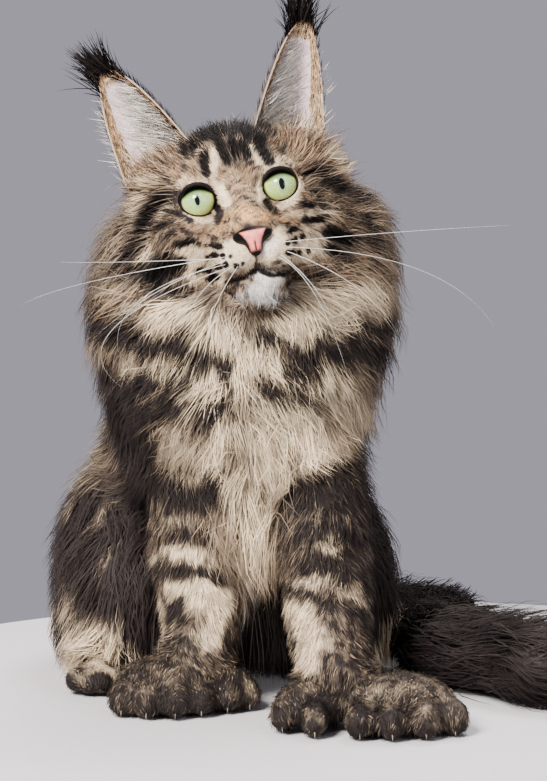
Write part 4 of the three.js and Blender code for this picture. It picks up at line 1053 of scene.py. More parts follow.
def face_lie(p):
    q = to_head(p)
    way = unit(q - NOSE_TIP)
    low = ramp(28, -30, q[:, 2])[:, None]
    side = ramp(26, 46, np.abs(q[:, 0]))[:, None]
    fall = np.stack([0.5 * np.sign(q[:, 0]), 0.25 + 0 * q[:, 0], -1 + 0 * q[:, 0]], 1)
    back = np.array([0, 0.6, 0.0])
    chin = (1 - ramp(-52, -44, q[:, 2]))[:, None]
    way = way + low * side * 0.9 * fall + back + chin * np.array([0, 0, -0.9])
    return way @ HEAD.T


CHIN = np.array([-14.0, 262.0])  # in the front view


def trunk_lie(p):
    q = to_body(p)
    front = front_view(p)
    fan = unit(front - CHIN)
    fan = np.stack([fan[:, 0], 0.12 + 0 * fan[:, 0], np.minimum(fan[:, 1], 0.25)], 1)
    ahead = ramp(60, 0, q[:, 1])[:, None]
    high = ramp(110, 200, p[:, 2])[:, None]
    outward = unit(np.stack([p[:, 0] - BODY_AT[0], p[:, 1] - BODY_AT[1], 0 * p[:, 0]], 1))
    down = np.array([0, 0, -1.0])
    back = body_way([0, 1, 0])
    behind = down + 0.7 * (1 - high) * back + 0.12 * outward
    beside = ramp(225, 285, front[:, 1])[:, None]
    before = (0.6 + 0.5 * beside) * fan + (0.55 - 0.4 * beside) * down + 0.14 * outward
    meet = np.zeros_like(p)
    meet[:, 0] = -np.clip((p[:, 0] + 9.7) / 30, -1, 1) * 1.1 * ramp(150, 105, p[:, 2])
    return mix(behind, before + meet, ahead * mix(0.35, 1, high))


def thigh_lie(p):
    q = to_body(p)
    back = (0.15 + 0.35 * ramp(30, 120, q[:, 1]))[:, None]
    outward = np.stack([np.sign(q[:, 0]), 0 * q[:, 0], 0 * q[:, 0]], 1) @ BODY.T
    return np.array([0, 0, -1.0]) + back * body_way([0, 1, 0]) + 0.15 * outward


def leg_lie(p):
    return np.array([0, -0.12, -1.0]) + 0 * p


def paw_lie(p):
    return np.array([0, -1.0, -0.35]) + ramp(20, 6, p[:, 2])[:, None] * np.array([0, 0.2, -0.8])


def foot_lie(p):
    return body_way([0.0, -1.0, -0.5]) + 0 * p


@functools.cache
def tail_line():
    """The tail's middle line as close points and the way it runs at each."""
    spots = np.array([q[:3] for q in TAIL], float)
    ends = np.concatenate([[2 * spots[0] - spots[1]], spots, [2 * spots[-1] - spots[-2]]])
    t = np.linspace(0, 1, 24, endpoint=False)[:, None]
    made = []
    for a, b, c, d in zip(ends, ends[1:], ends[2:], ends[3:]):
        bend, twist = 2 * a - 5 * b + 4 * c - d, 3 * b - 3 * c + d - a
        made.append(0.5 * (2 * b + (c - a) * t + bend * t**2 + twist * t**3))
    line = np.concatenate(made)
    return line, unit(np.gradient(line, axis=0))


def tail_lie(p):
    line, ways = tail_line()
    near = np.empty(len(p), int)
    for start in range(0, len(p), 4000):
        gap = p[start : start + 4000, None] - line[None]
        near[start : start + 4000] = np.argmin((gap * gap).sum(2), 1)
    out = unit(p - line[near])
    return ways[near] + 0.22 * out + np.array([0, 0, -0.12])


# ---- finishes


def new_socket(group, name, kind, way="INPUT", value=None):
    socket = group.interface.new_socket(name=name, in_out=way, socket_type="NodeSocket" + kind)
    if value is not None:
        socket.default_value = value


class Wiring:
    """Short ways to add nodes to a tree and join them."""

    def __init__(self, tree):
        self.tree = tree

    def add(self, kind, **values):
        node = self.tree.nodes.new(kind)
        for name, value in values.items():
            setattr(node, name, value)
        return node

    def feed(self, node, values):
        """Joins a node's sockets to other nodes' outputs, or holds them at constant values."""
        for name, value in values.items():
            if isinstance(value, bpy.types.NodeSocket):
                self.tree.links.new(value, node.inputs[name])
            else:
                colour = isinstance(value, tuple) and len(value) == 3
                node.inputs[name].default_value = (*value, 1) if colour else value
        return node

    def math(self, operation, a, b):
        return self.feed(self.add("ShaderNodeMath", operation=operation), {0: a, 1: b}).outputs[0]

    def times(self, a, b):
        return self.math("MULTIPLY", a, b)

    def ramp(self, value, low, high, start=0.0, end=1.0):
        node = self.add("ShaderNodeMapRange", interpolation_type="SMOOTHSTEP")
        span = {"From Min": low, "From Max": high, "To Min": start, "To Max": end, "Value": value}
        return self.feed(node, span).outputs["Result"]

    def blend(self, share, a, b, mode="MIX"):
        node = self.add("ShaderNodeMix", data_type="RGBA", blend_type=mode)
        return self.feed(node, {0: share, 6: a, 7: b}).outputs[2]

    def noise(self, scale, detail, rough, vector):
        values = {"Scale": scale, "Detail": detail, "Roughness": rough, "Vector": vector}
        return self.feed(self.add("ShaderNodeTexNoise"), values).outputs["Fac"]

    def place(self):
        return self.add("ShaderNodeNewGeometry").outputs["Position"]

    def kept(self, name, output="Color"):
        """A value that a mesh keeps at each of its points."""
        return self.add("ShaderNodeAttribute", attribute_name=name).outputs[output]

    def shares(self):
        """The first three marks of a mesh, each on its own."""
        return self.feed(self.add("ShaderNodeSeparateColor"), {0: self.kept("marks")}).outputs

    def bump(self, height, strength, distance):
        values = {"Strength": strength, "Distance": distance, "Height": height}
        return self.feed(self.add("ShaderNodeBump"), values).outputs[0]


def looks():
    return bpy.context.scene.cat_colours


def sizes():
    return bpy.context.scene.cat_sizes


def rgb(colour):
    return (*colour, 1.0)


def tabby_group():
    """Coat colour from the shares of dark, pale, warm and white hair and a strand's own length.

    Hair is grey-brown at its root, banded pale further out, and often black at its tip.
    """
    found = bpy.data.node_groups.get("tabby_coat")
    if found:
        return found
    group = bpy.data.node_groups.new("tabby_coat", "ShaderNodeTree")
    new_socket(group, "Marks", "Color", value=(0, 0, 0, 1))
    plain = {"White": 0.0, "Along": 0.3, "Chance": 0.5, "Root depth": 0.6, "Tip dark": 0.5}
    for name, value in plain.items():
        new_socket(group, name, "Float", value=value)
    new_socket(group, "Color", "Color", "OUTPUT")
    new_socket(group, "Roughness", "Float", "OUTPUT")
    w = Wiring(group)
    source, sink = w.add("NodeGroupInput").outputs, w.add("NodeGroupOutput")
    dark, pale, warm = w.feed(w.add("ShaderNodeSeparateColor"), {0: source["Marks"]}).outputs
    along, chance, white = source["Along"], source["Chance"], source["White"]
    c = looks()
    shade = w.ramp(chance, 0.0, 1.0)
    ground = w.blend(shade, rgb(c.ground_low), rgb(c.ground_high))
    colour = w.blend(w.ramp(warm, 0.35, 1.0), ground, rgb(c.warm))
    colour = w.blend(pale, colour, rgb(c.pale))
    colour = w.blend(white, colour, rgb(c.white))
    light = w.math("SUBTRACT", 1.0, w.times(w.math("MAXIMUM", pale, white), 0.55))
    # root colour towards the root: grey undercoat, and painted shade deep in the coat; less on pale and white
    # hair
    root = w.times(w.times(w.ramp(along, 0.5, 0.0), source["Root depth"]), light)
    colour = w.blend(root, colour, rgb(c.root))
    banded = w.times(w.ramp(along, 0.62, 0.95), w.ramp(chance, 0.35, 0.8))
    banded = w.times(w.times(banded, light), source["Tip dark"])
    colour = w.blend(banded, colour, rgb(c.dark))
    ink = w.blend(w.ramp(warm, 0.0, 0.35), rgb(c.dark), rgb(c.umber))
    glint = w.times(w.math("POWER", shade, 2.0), 0.22)
    ink = w.blend(glint, ink, (0.06, 0.047, 0.039))
    edge = w.math("ADD", dark, w.times(w.math("SUBTRACT", chance, 0.5), 0.35))
    colour = w.blend(w.ramp(edge, 0.12, 0.74), colour, ink)
    mottle = w.ramp(w.noise(160.0, 3.0, 0.6, w.place()), 0.25, 0.8, 0.72, 1.22)
    tone = w.feed(w.add("ShaderNodeHueSaturation"), {"Value": mottle, "Color": colour})
    w.feed(sink, {"Color": tone.outputs[0], "Roughness": w.ramp(mottle, 0.7, 1.25, 0.62, 0.5)})
    return group


def new_material(name):
    """A material with a Principled shader, and its wiring."""
    made = bpy.data.materials.get(name)
    if made:
        bpy.data.materials.remove(made)
    made = bpy.data.materials.new(name)
    made.use_nodes = True
    w = Wiring(made.node_tree)
    return made, w, made.node_tree.nodes["Principled BSDF"]


def placed_tabby(w, root_depth, tip_dark):
    marks = w.add("ShaderNodeAttribute", attribute_name="marks").outputs
    parts = w.feed(w.add("ShaderNodeSeparateXYZ"), {0: w.kept("growth", "Vector")}).outputs
    return w.feed(w.add("ShaderNodeGroup", node_tree=tabby_group()), {
        "Marks": marks["Color"], "White": marks["Alpha"], "Along": parts["X"], "Chance": parts["Y"],
        "Root depth": root_depth, "Tip dark": tip_dark,
    }).outputs


@functools.cache
def coat_material():
    made, w, shader = new_material("coat_strands")
    # strands take the root colour strongly: grey undercoat, and painted shade between them
    hair = placed_tabby(w, 0.68, 0.6)
    w.feed(shader, {"Base Color": hair["Color"], "Roughness": hair["Roughness"], "Specular IOR Level": 0.05})
    return made


@functools.cache
def skin_material():
    made, w, shader = new_material("short_coat")
    # the skin shows between the strands; its plain along of 0.2 takes in the root colour, partly undercoat grey
    # and partly painted shade under the fur
    hair = placed_tabby(w, 0.5, 0.3)
    fine = w.noise(900.0, 4.0, 0.6, w.place())
    # fine grain multiplied in: short-hair texture, and a darkening that is painted shade under the fur
    colour = w.blend(w.ramp(fine, 0.35, 0.75, 0.0, 0.75), hair["Color"], (0.3, 0.27, 0.25), "MULTIPLY")
    w.feed(shader, {"Base Color": colour, "Roughness": hair["Roughness"], "Specular IOR Level": 0.1,
                    "Normal": w.bump(fine, 0.5, 0.0006)})
    return made


@functools.cache
def eye_material():
    """Light green iris with fine fibres, yellower towards its rim, round a black oval pupil."""
    made, w, shader = new_material("eye")
    c = looks()
    out, pupil, high = w.shares()
    fibres = w.noise(7.0, 4.0, 0.65, w.kept("growth", "Vector"))
    green = w.blend(w.ramp(fibres, 0.35, 0.68), rgb(c.iris), rgb(c.iris_light))
    glow = w.times(w.ramp(out, 0.45, 0.9), 0.6)
    green = w.blend(glow, green, rgb(c.iris_rim))
    lower = w.ramp(high, 0.58, 0.17, 0.0, 0.35)
    green = w.blend(lower, green, rgb(c.iris_rim))
    halo = w.times(w.ramp(pupil, 1.9, 1.0), 0.55)
    green = w.blend(halo, green, (0.16, 0.30, 0.17))
    green = w.blend(w.ramp(high, 0.62, 0.78), green, (0.001, 0.0012, 0.0008))  # the upper lid's shadow
    ring = w.ramp(out, 0.9, 1.02)
    green = w.blend(ring, green, (0.012, 0.012, 0.01))
    hole = w.ramp(pupil, 1.08, 0.94)
    # no coat under the lid's painted shadow, so the top light's reflection stays off it
    w.feed(shader, {
        "Base Color": w.blend(hole, green, (0.002, 0.002, 0.003)), "Normal": w.bump(fibres, 0.12, 0.0002),
        "Roughness": 0.5, "Specular IOR Level": 0.0, "Coat Weight": w.ramp(high, 0.78, 0.7), "Coat IOR": 1.5,
        "Coat Roughness": 0.02,
    })
    return made


@functools.cache
def leather_material(name):
    """Bare skin: two mottled colours under a fine pebbled grain, with dark, pale and warm marks."""
    low, high, rough, grain, bump_height, *wet = LEATHERS[name]
    made, w, shader = new_material(name)
    place = w.place()
    mottle = w.ramp(w.noise(grain * 0.35, 3.0, 0.55, place), 0.3, 0.7)
    shares = w.shares()
    colour = w.blend(mottle, low, high)
    for share, tint in zip(shares, ((0.004, 0.003, 0.003), (0.54, 0.43, 0.28), (0.85, 0.42, 0.30))):
        colour = w.blend(share, colour, tint)
    cells = w.feed(w.add("ShaderNodeTexVoronoi"), {"Scale": grain, "Vector": place})
    w.feed(shader, {
        "Base Color": colour, "Normal": w.bump(cells.outputs["Distance"], 0.5, bump_height),
        "Roughness": w.ramp(mottle, 0, 1, rough - 0.06, rough + 0.06), "Specular IOR Level": 0.06,
        "Coat Weight": wet[0] if wet else 0.0, "Coat Roughness": 0.25,
    })
    return made


LEATHERS = {  # two colours, roughness, grain, height of the grain, and wetness
    "nose_leather": ((0.82, 0.19, 0.17), (0.96, 0.30, 0.26), 0.5, 1500.0, 0.0003, 0.05),
    "lid_rim": ((0.006, 0.005, 0.005), (0.012, 0.009, 0.009), 0.5, 1800.0, 0.0002),
    "ear_skin": ((0.60, 0.44, 0.46), (0.80, 0.66, 0.66), 0.6, 700.0, 0.0003),
    "claw_horn": ((0.13, 0.11, 0.09), (0.30, 0.26, 0.21), 0.35, 900.0, 0.0001, 0.2),
}


@functools.cache
def whisker_material():
    made, w, shader = new_material("whisker")
    tone = w.ramp(w.noise(60.0, 2.0, 0.5, w.place()), 0.3, 0.7)
    w.feed(shader, {"Base Color": w.blend(tone, (0.66, 0.64, 0.60), (0.86, 0.85, 0.82)),
                    "Roughness": w.ramp(tone, 0, 1, 0.3, 0.42)})
    return made


# ---- pieces


def plain_growth(points, along=0.2):
    growth = np.full((len(points), 3), along)
    growth[:, 1] = 0.5 + 0.35 * ripple(points, 31, 5)
    return growth


FLESH_NODES = [
    "head", "lower_jaw", "neck", "chest", "hindquarters",
    *(f"{part}_{side}" for side in SIDES for part in ("front_paw", "foreleg", "hind_foot", "thigh")),
    "tail_root", "tail_middle", "tail_end", "tail_tip",
]


def make_skin():
    """The face's fine skin and the body's, as one piece."""
    body, body_quads = body_skin()
    face, face_quads = face_skin()
    part = part_at(body)
    body_normal, face_normal = corner_normals(body, body_quads), corner_normals(face, face_quads)
    marks = np.concatenate([marks_at(face, face_normal, None), marks_at(body, body_normal, part)])
    points = np.concatenate([face, body])
    uv = np.concatenate([flat_uv(face, face_quads, None), flat_uv(body, body_quads, part)])
    quads = np.concatenate([face_quads, body_quads + len(face)])
    add_mesh("skin", points, quads, marks=marks, growth=plain_growth(points), loop_uv=uv,
             material=skin_material(), replaces=FLESH_NODES)


IRIS_AT = {"right": (-47.4, 304.2), "left": (5.1, 314.6)}
PUPIL = {"right": (1.45, 3.0), "left": (1.75, 3.5)}
CORNEA = 1.3  # how far it stands out from the eyeball


def eye_axes(side):
    """An eye's middle and its own axes: across, up and out along its gaze."""
    s = SIDES[side]
    middle = head_point([s * EYE["out"], -EYE["forward"], EYE["up"]])
    r = EYE["radius"]
    target, spot = IRIS_AT[side], middle + [0, -r, 0]
    for _ in range(4):
        dx, _, dz = behind_view(target, spot[1]) - middle
        spot = middle + [dx, -math.sqrt(max(r * r - dx * dx - dz * dz, 1)), dz]
    gaze = unit(spot - middle)
    across = unit(np.cross(gaze, head_way([0, 0, 1])))
    return middle, across, np.cross(across, gaze), gaze


def make_eye(side):
    """An eyeball with a bulging cornea; its iris and pupil are marked by how far out each point lies."""
    middle, across, up, gaze = eye_axes(side)
    lean = np.concatenate([np.linspace(0, 0.95, 46), np.linspace(0.98, math.pi, 20)])
    turn = np.linspace(0, 2 * math.pi, 72, endpoint=False)
    a, b = np.meshgrid(lean[1:-1], turn, indexing="ij")
    iris = sizes().iris_radius * 1000
    half = math.asin(iris / EYE["radius"])
    bulge = CORNEA * np.maximum(0, 1 - (a / half) ** 2) ** 1.2
    r = EYE["radius"] + bulge
    out = np.sin(a)[..., None] * (np.cos(b)[..., None] * across + np.sin(b)[..., None] * up)
    shell = middle + r[..., None] * (out + np.cos(a)[..., None] * gaze)
    rings, n = a.shape
    ends = [middle + (EYE["radius"] + CORNEA) * gaze], [middle - EYE["radius"] * gaze]
    points = np.concatenate([ends[0], shell.reshape(-1, 3), ends[1]])
    faces = []
    for j in range(n):
        k = (j + 1) % n
        faces += [(0, 1 + j, 1 + k), (len(points) - 1, 1 + (rings - 1) * n + k, 1 + (rings - 1) * n + j)]
        for i in range(rings - 1):
            p, q = 1 + i * n, 1 + (i + 1) * n
            faces += [(p + j, q + j, q + k), (p + j, q + k, p + k)]
    q = points - middle
    x, z, y = q @ across, q @ up, q @ gaze
    far = np.where(y > 0, np.hypot(x, z) / iris, 3.0)
    wide, tall = PUPIL[side]
    hole = np.where(y > 0, np.hypot(x / wide, z / tall), 9.0)
    # a height that bends like the upper lid's edge: the eye's material paints the lid's shadow above it and
    # yellows the iris below
    high = z + x * x / 26 * ramp(0, 4, z)
    marks = np.stack([far, hole, np.clip(high / 24 + 0.5, 0, 1), 0 * z], 1)
    angle = np.arctan2(z, x)
    growth = np.stack([np.cos(angle) * 2.2, np.sin(angle) * 2.2, far * 0.45], 1)
    faces = np.array(faces)[:, ::-1]
    plain_piece(f"eyeball_{side}", (points, faces), eye_material(), marks, growth, [f"eye_{side}"])


def tube_along(line, radius, sides=10, closed=False, squash=1.0, up=None):
    """A round tube along points, its radius given at each. Closed joins its ends, else each has a cap."""
    line = np.asarray(line, float)
    way = np.roll(line, -1, 0) - np.roll(line, 1, 0) if closed else np.gradient(line, axis=0)
    way = unit(way)
    hint = np.array([0.0, 0.0, 1.0]) if up is None else np.asarray(up, float)
    e1 = unit(np.cross(way, hint + 0 * way))
    e2 = np.cross(way, e1)
    turn = np.linspace(0, 2 * math.pi, sides, endpoint=False)
    ring = np.cos(turn)[None, :, None] * e1[:, None] + squash * np.sin(turn)[None, :, None] * e2[:, None]
    points = (line[:, None] + np.asarray(radius)[:, None, None] * ring).reshape(-1, 3)
    n = len(line)
    i, j = np.meshgrid(np.arange(n if closed else n - 1), np.arange(sides), indexing="ij")
    a, b = i * sides + j, i * sides + (j + 1) % sides
    c, d = ((i + 1) % n) * sides + j, ((i + 1) % n) * sides + (j + 1) % sides
    faces = np.concatenate([np.stack([a, b, c], -1).reshape(-1, 3), np.stack([b, d, c], -1).reshape(-1, 3)])
    if not closed:
        first, last = len(points), len(points) + 1
        points = np.concatenate([points, line[:1], line[-1:]])
        k = np.arange(sides)
        m = (k + 1) % sides
        caps = [(first + 0 * k, m, k), (last + 0 * k, (n - 1) * sides + k, (n - 1) * sides + m)]
        faces = np.concatenate([faces, *(np.stack(cap, 1) for cap in caps)])
    return points, faces


def joined(shapes):
    """Several (points, faces) as one."""
    points, faces, start = [], [], 0
    for p, f in shapes:
        points.append(p)
        faces.append(f + start)
        start += len(p)
    return np.concatenate(points), np.concatenate(faces)


def plain_piece(name, shape, material, marks=None, growth=None, replaces=()):
    """A piece with an unwrap of its own sides, and with plain marks and growth unless these are given."""
    points, faces = shape
    marks = np.zeros((len(points), 4)) if marks is None else marks
    growth = plain_growth(points) if growth is None else growth
    add_mesh(name, points, faces, marks=marks, growth=growth, loop_uv=flat_uv(points, faces, None),
             material=material, replaces=replaces)


def make_lids():
    """Dark rims round the eyes' openings, thick above, drawn out to a dark inner corner."""
    for side, s in SIDES.items():
        lean = math.radians(s * EYE_SLIT["slant"])
        turn = np.linspace(0, 2 * math.pi, 72, endpoint=False)
        x = np.cos(turn) * EYE_SLIT["width"] / 2
        z = np.sin(turn) * EYE_SLIT["height"] / 2
        inner = ramp(0.72, 1.0, -s * np.cos(turn))
        x = x - s * 2.4 * inner
        z = z - 3.6 * inner
        dx, dz = x * math.cos(lean) - z * math.sin(lean), x * math.sin(lean) + z * math.cos(lean)
        hold = 12.1**2 - dx * dx - dz * dz
        y = -EYE["forward"] - np.sqrt(np.maximum(hold, 16.0))
        line = head_point(np.stack([s * EYE["out"] + dx, y, EYE["up"] + dz], 1))
        thick = 0.34 + 1.2 * ramp(0.0, 0.8, np.sin(turn + 0.1)) + 0.6 * inner
        points, faces = tube_along(line, thick, closed=True, up=unit(head_way([0, -1, 0])))
        plain_piece(f"lid_rim_{side}", (points, faces), leather_material("lid_rim"))


def nose_field():
    pad = ball([0, -65.5, -26.6], [11.6, 7.5, 5.0])
    wedge = ball([0, -66, -32], [4.7, 6.6, 7.2])
    field = blend(4, pad, wedge)
    for s in SIDES.values():
        nostril = limb([s * 4.4, -74.5, -30.0], [s * 8.4, -71.5, -27.2], 1.5, 1.2)
        slit = limb([s * 8.4, -71.5, -27.2], [s * 12.0, -66.5, -28.4], 1.1, 0.7)
        field = cut(field, least(nostril, slit), 1.0)
    groove = limb([0, -74, -29], [0, -70.5, -41], 0.55, 0.9)
    return in_head(cut(field, groove, 0.8))


def make_nose():
    centre = head_point([0, -66, -29])
    points, quads = skin_of(nose_field(), centre - 17, centre + 17, 0.55)
    q = to_head(points)
    wide = np.interp(q[:, 2], [-37, -33, -30, -27, -24], [2.5, 3.2, 4.2, 6.0, 7.8])
    wing = ramp(wide - 0.5, wide + 0.9, np.abs(q[:, 0]))
    top = ramp(-25.4, -24.3, q[:, 2])
    under = ramp(-35.0, -37.5, q[:, 2])
    groove = (1 - ramp(0.3, 1.0, np.abs(q[:, 0]))) * ramp(-29.5, -32, q[:, 2])
    dark = np.clip(np.maximum.reduce([wing, top, under, 0.9 * groove]), 0, 1)
    marks = np.stack([dark, 0 * dark, 0 * dark, 0 * dark], 1)
    leather = leather_material("nose_leather")
    plain_piece("nose_pad", (points, quads), leather, marks, replaces=["nose"])


# Ears


def ear_frame(side):
    s = SIDES[side]
    base, tip = np.array(on_side(s, EAR_BASE), float), np.array(on_side(s, EAR_TIP[side]), float)
    up = unit(tip - base)
    front = np.array([s * 0.42, -0.9, 0.05])
    front = unit(front - (front @ up) * up)
    return base, up, front, np.cross(up, front), np.linalg.norm(tip - base)


def ear_sheet(side, v, w):
    """The middle of an ear's sheet at heights of 0 to 1 and widths of -1 to 1, in the cat's frame."""
    base, up, front, across, length = ear_frame(side)
    open_ = (1 - np.clip(v, 0, 0.985)) ** 0.46
    bow = np.maximum(0, 1 - w * w) ** 0.75
    p = base + length * v[..., None] * up + (w * EAR["half"] * open_)[..., None] * across
    p = p - (EAR["cup"] * open_**1.4 * bow)[..., None] * front
    return head_point(p)


def ear_normal(side, v, w):
    e = 0.01
    wide = ear_sheet(side, v, np.minimum(w + e, 0.999)) - ear_sheet(side, v, np.maximum(w - e, -0.999))
    tall = ear_sheet(side, np.minimum(v + e, 0.975), w) - ear_sheet(side, v - e, w)
    return unit(np.cross(wide, tall))


def make_ear(side):
    rows, columns = 44, 40
    wide = np.sin(np.linspace(-1, 1, columns) * math.pi / 2)
    v, w = np.meshgrid(np.linspace(-0.22, 1, rows), wide, indexing="ij")
    middle, normal = ear_sheet(side, v, w), ear_normal(side, v, w)
    half = EAR["thick"] / 2 * (0.45 + 0.55 * np.sqrt(np.maximum(0, 1 - w * w)))[..., None]
    inner, outer = middle + normal * half, middle - normal * half
    points = np.concatenate([inner.reshape(-1, 3), outer.reshape(-1, 3)])
    i, j = np.meshgrid(np.arange(rows - 1), np.arange(columns - 1), indexing="ij")
    m, up = rows * columns, columns  # from the inner sheet to the outer, and from one row to the next
    a = (i * columns + j).ravel()
    first, bottom = np.arange(rows - 1) * columns, np.arange(columns - 1)
    last, top = first + columns - 1, bottom + (rows - 1) * columns
    turns = [(a, 1, up + 1, up), (m + a, up, up + 1, 1), (first, up, m + up, m), (last, m, m + up, up),
             (bottom, m, m + 1, 1), (top, 1, m + 1, m)]
    faces = np.concatenate([np.stack([at, at + b, at + c, at + d], 1) for at, b, c, d in turns])
    v, w = np.tile(v.ravel(), 2), np.tile(w.ravel(), 2)
    behind = np.repeat([0.0, 1.0], m)
    rim = np.maximum(ramp(0.7, 0.9, np.abs(w)), ramp(0.86, 0.93, v))
    pale = np.clip(rim * 0.85 + 0.3 * ramp(0.22, -0.05, v), 0, 1) * (1 - behind)
    fold = np.hypot((v - 0.1) / 0.12, (w - SIDES[side] * 0.6) / 0.3)
    marks = np.stack([behind * 0.75, pale, 0.8 * (1 - ramp(0.4, 1.0, fold)) * (1 - behind), 0 * pale], 1)
    leather = leather_material("ear_skin")
    plain_piece(f"ear_skin_{side}", (points, faces), leather, marks, replaces=[f"ear_{side}"])


def open_strands(roots, ways, bends, length, rings):
    """Lines in the open that leave along one way and turn towards another."""
    t = np.array(STATIONS[rings])[None, :, None]
    run = length[:, None, None]
    return roots[:, None] + run * (ways[:, None] * (t - 0.5 * t * t) + bends[:, None] * 0.5 * t * t)


def ear_hair(name, side, v, w, away, length, ways, bends, marks, width, rings, rng):
    """Hair rooted on an ear's sheet, away from it on one face."""
    normal = ear_normal(side, v, w) * away
    roots = ear_sheet(side, v, w) + normal * EAR["thick"] * 0.3
    lines = open_strands(roots, ways(roots, normal), bends(roots, normal), length, rings)
    ups = np.repeat(unit(normal + 0.4 * rng.normal(size=normal.shape))[:, None], lines.shape[1], 1)
    patch = unwrap(roots, normal, None)
    width = np.full(len(v), width)
    add_coat(name, lines, ups, width, width * 0.4, marks, patch, rng.random(len(v)), 0.45)


def make_ear_coat(side):
    """Dark short hair behind, an olive rim, pale wisps across the cup, and a black tuft at the tip."""
    s = SIDES[side]
    rng = np.random.default_rng(70 + s)
    _, up, front, across, _ = ear_frame(side)
    up, front, across = head_way(up), head_way(front), head_way(across)

    def shares(n, dark, pale, warm, white):
        m = np.array([[dark, pale, warm, white]]) + rng.normal(size=(n, 4)) * 0.06
        return np.clip(m, 0, 1)

    n = 1300  # behind
    v, w = rng.uniform(-0.15, 0.97, n), rng.uniform(-1, 1, n)
    m = shares(n, 0.72, 0.0, 0.35, 0)
    m[:, 0] = np.clip(0.5 + 0.35 * ripple(ear_sheet(side, v, w), 41, 22) + 0.4 * ramp(0.55, 0.95, v), 0, 1)
    lie = lambda r, k: unit(up * 0.9 + k * 0.22 + 0.14 * rng.normal(size=r.shape))
    bend = lambda r, k: unit(up + 0.02 * k)
    ear_hair(f"ear_back_hair_{side}", side, v, w, -1, rng.uniform(5, 9, n), lie, bend, m, 0.7, 2, rng)
    n = 2100  # rim
    v = np.where(rng.random(n) < 0.25, rng.uniform(0.84, 0.96, n), rng.uniform(-0.1, 0.9, n))
    w = np.where(rng.random(n) < 0.5, -1, 1)
    w = w * np.where(v > 0.87, rng.uniform(0.0, 1.0, n), rng.uniform(0.78, 1.0, n))
    m = shares(n, 0.1, 0.15, 0.7, 0)
    m[:, 0] = np.clip(m[:, 0] + 0.4 * (rng.random(n) < 0.3), 0, 1)
    way = lambda r, k: unit(up * 0.8 + k * 0.4 + front * 0.15 + 0.14 * rng.normal(size=r.shape))
    bend = lambda r, k: unit(up + k * 0.25)
    ear_hair(f"ear_rim_hair_{side}", side, v, w, 1, rng.uniform(3.5, 6.5, n), way, bend, m, 0.6, 2, rng)
    n = 780  # wisps that grow from the inner edge and cross the cup
    v = rng.beta(1.3, 2.0, n) * 0.86
    w = -s * rng.uniform(0.45, 0.95, n)
    w = np.where(rng.random(n) < 0.5, rng.uniform(-0.75, 0.75, n), w)
    m = shares(n, 0.0, 0.55, 0.0, 0.75)
    cross = across * s
    start = lambda r, k: unit(cross * 0.75 + up * 0.5 + front * 0.5 + 0.18 * rng.normal(size=r.shape))
    finish = lambda r, k: unit(cross * 0.75 + up * 0.9 + front * 0.05 + 0.22 * rng.normal(size=r.shape))
    room = 12 + 18 * np.clip(0.9 - v, 0, 0.6)
    length = room * rng.uniform(0.6, 1.15, n)
    ear_hair(f"ear_wisps_{side}", side, v, w, 1, length, start, finish, m, 0.42, 4, rng)
    n = 260  # down at the base of the cup
    v, w = rng.uniform(-0.12, 0.2, n), rng.uniform(-0.95, 0.95, n)
    m = shares(n, 0.05, 0.6, 0.1, 0.3)
    start = lambda r, k: unit(up * 0.6 + front * 0.75 + 0.25 * rng.normal(size=r.shape))
    finish = lambda r, k: unit(up * 0.9 + front * 0.2 + 0.25 * rng.normal(size=r.shape))
    ear_hair(f"ear_down_{side}", side, v, w, 1, rng.uniform(10, 20, n), start, finish, m, 0.7, 3, rng)
    n = 330  # tuft
    v, w = rng.uniform(0.82, 0.985, n), rng.uniform(-1, 1, n)
    m = shares(n, 0.97, 0.0, 0.1, 0)
    tuft = unit(np.array(TUFT_WAY[side], float))
    fan = np.radians(rng.normal(size=n) * 12)
    spread = np.stack([np.sin(fan), 0.18 * rng.normal(size=n), np.cos(fan)], 1)
    basis = np.stack([np.cross([0, -1, 0], tuft) * -1, [0, 1, 0], tuft])
    ways = unit(spread @ basis)
    bent = unit(np.stack([np.sin(fan * 1.7), spread[:, 1], np.cos(fan * 1.7)], 1) @ basis)
    ear_hair(f"ear_tuft_{side}", side, v, w, 1, rng.uniform(14, 33, n), lambda r, k: ways, lambda r, k: bent,
             m, 0.75, 4, rng)


# Coats

PLAIN_FACE_LENGTH, PLAIN_RUFF_LENGTH = 0.005, 0.05  # in metres, for the hair's plain length
BELLY_STRANDS = 700


@functools.cache
def face_ground():
    return Ground(face_field(), (-100, -120, 210), (66, 46, 374), 2.0)


def bare_face(middle):
    """1 where hair grows on the head, 0 on the nose, the lids' edges and within the eyes' openings."""
    q = to_head(middle)
    grown = (nose_field()(middle) > 0.4).astype(float)
    for s in SIDES.values():
        opening = eye_opening(s, 0.8)(q)
        grown *= opening > 0
    return grown


def make_face_coat():
    def weight(middle, normal, part):
        ahead = ramp(0.2, -0.4, normal[:, 1])
        near = 1 - ramp(45, 95, np.linalg.norm(to_head(middle) - NOSE_TIP, axis=1))
        return bare_face(middle) * (0.15 + 0.9 * ahead + 2.2 * near * ahead)

    def measures(roots):
        q = to_head(roots)
        far = np.linalg.norm((q - NOSE_TIP) * [1.0, 0.8, 0.9], axis=1)
        brow = ramp(26, 40, q[:, 2])
        cheek = ramp(34, 50, np.abs(q[:, 0])) * ramp(0, -30, q[:, 2])
        length = 2.8 + 4.4 * ramp(18, 60, far) + 6.0 * ramp(55, 95, far) + 7 * brow
        length = length + 9 * cheek + 5 * ramp(-44, -62, q[:, 2])
        depth = 0.75 + 1.15 * ramp(15, 60, far) + 2.6 * ramp(60, 100, far) + 4.5 * cheek + 6 * brow
        return length * sizes().face_length / PLAIN_FACE_LENGTH, depth

    grow_area("face_coat", "face", weight, measures, face_lie, 101, on_face=True, width=0.42, rings=2,
              slot="face_coat", ground=face_ground(), tuft=9, pull=0.5, wander=0.2, ragged=0.7, tick=0.22)


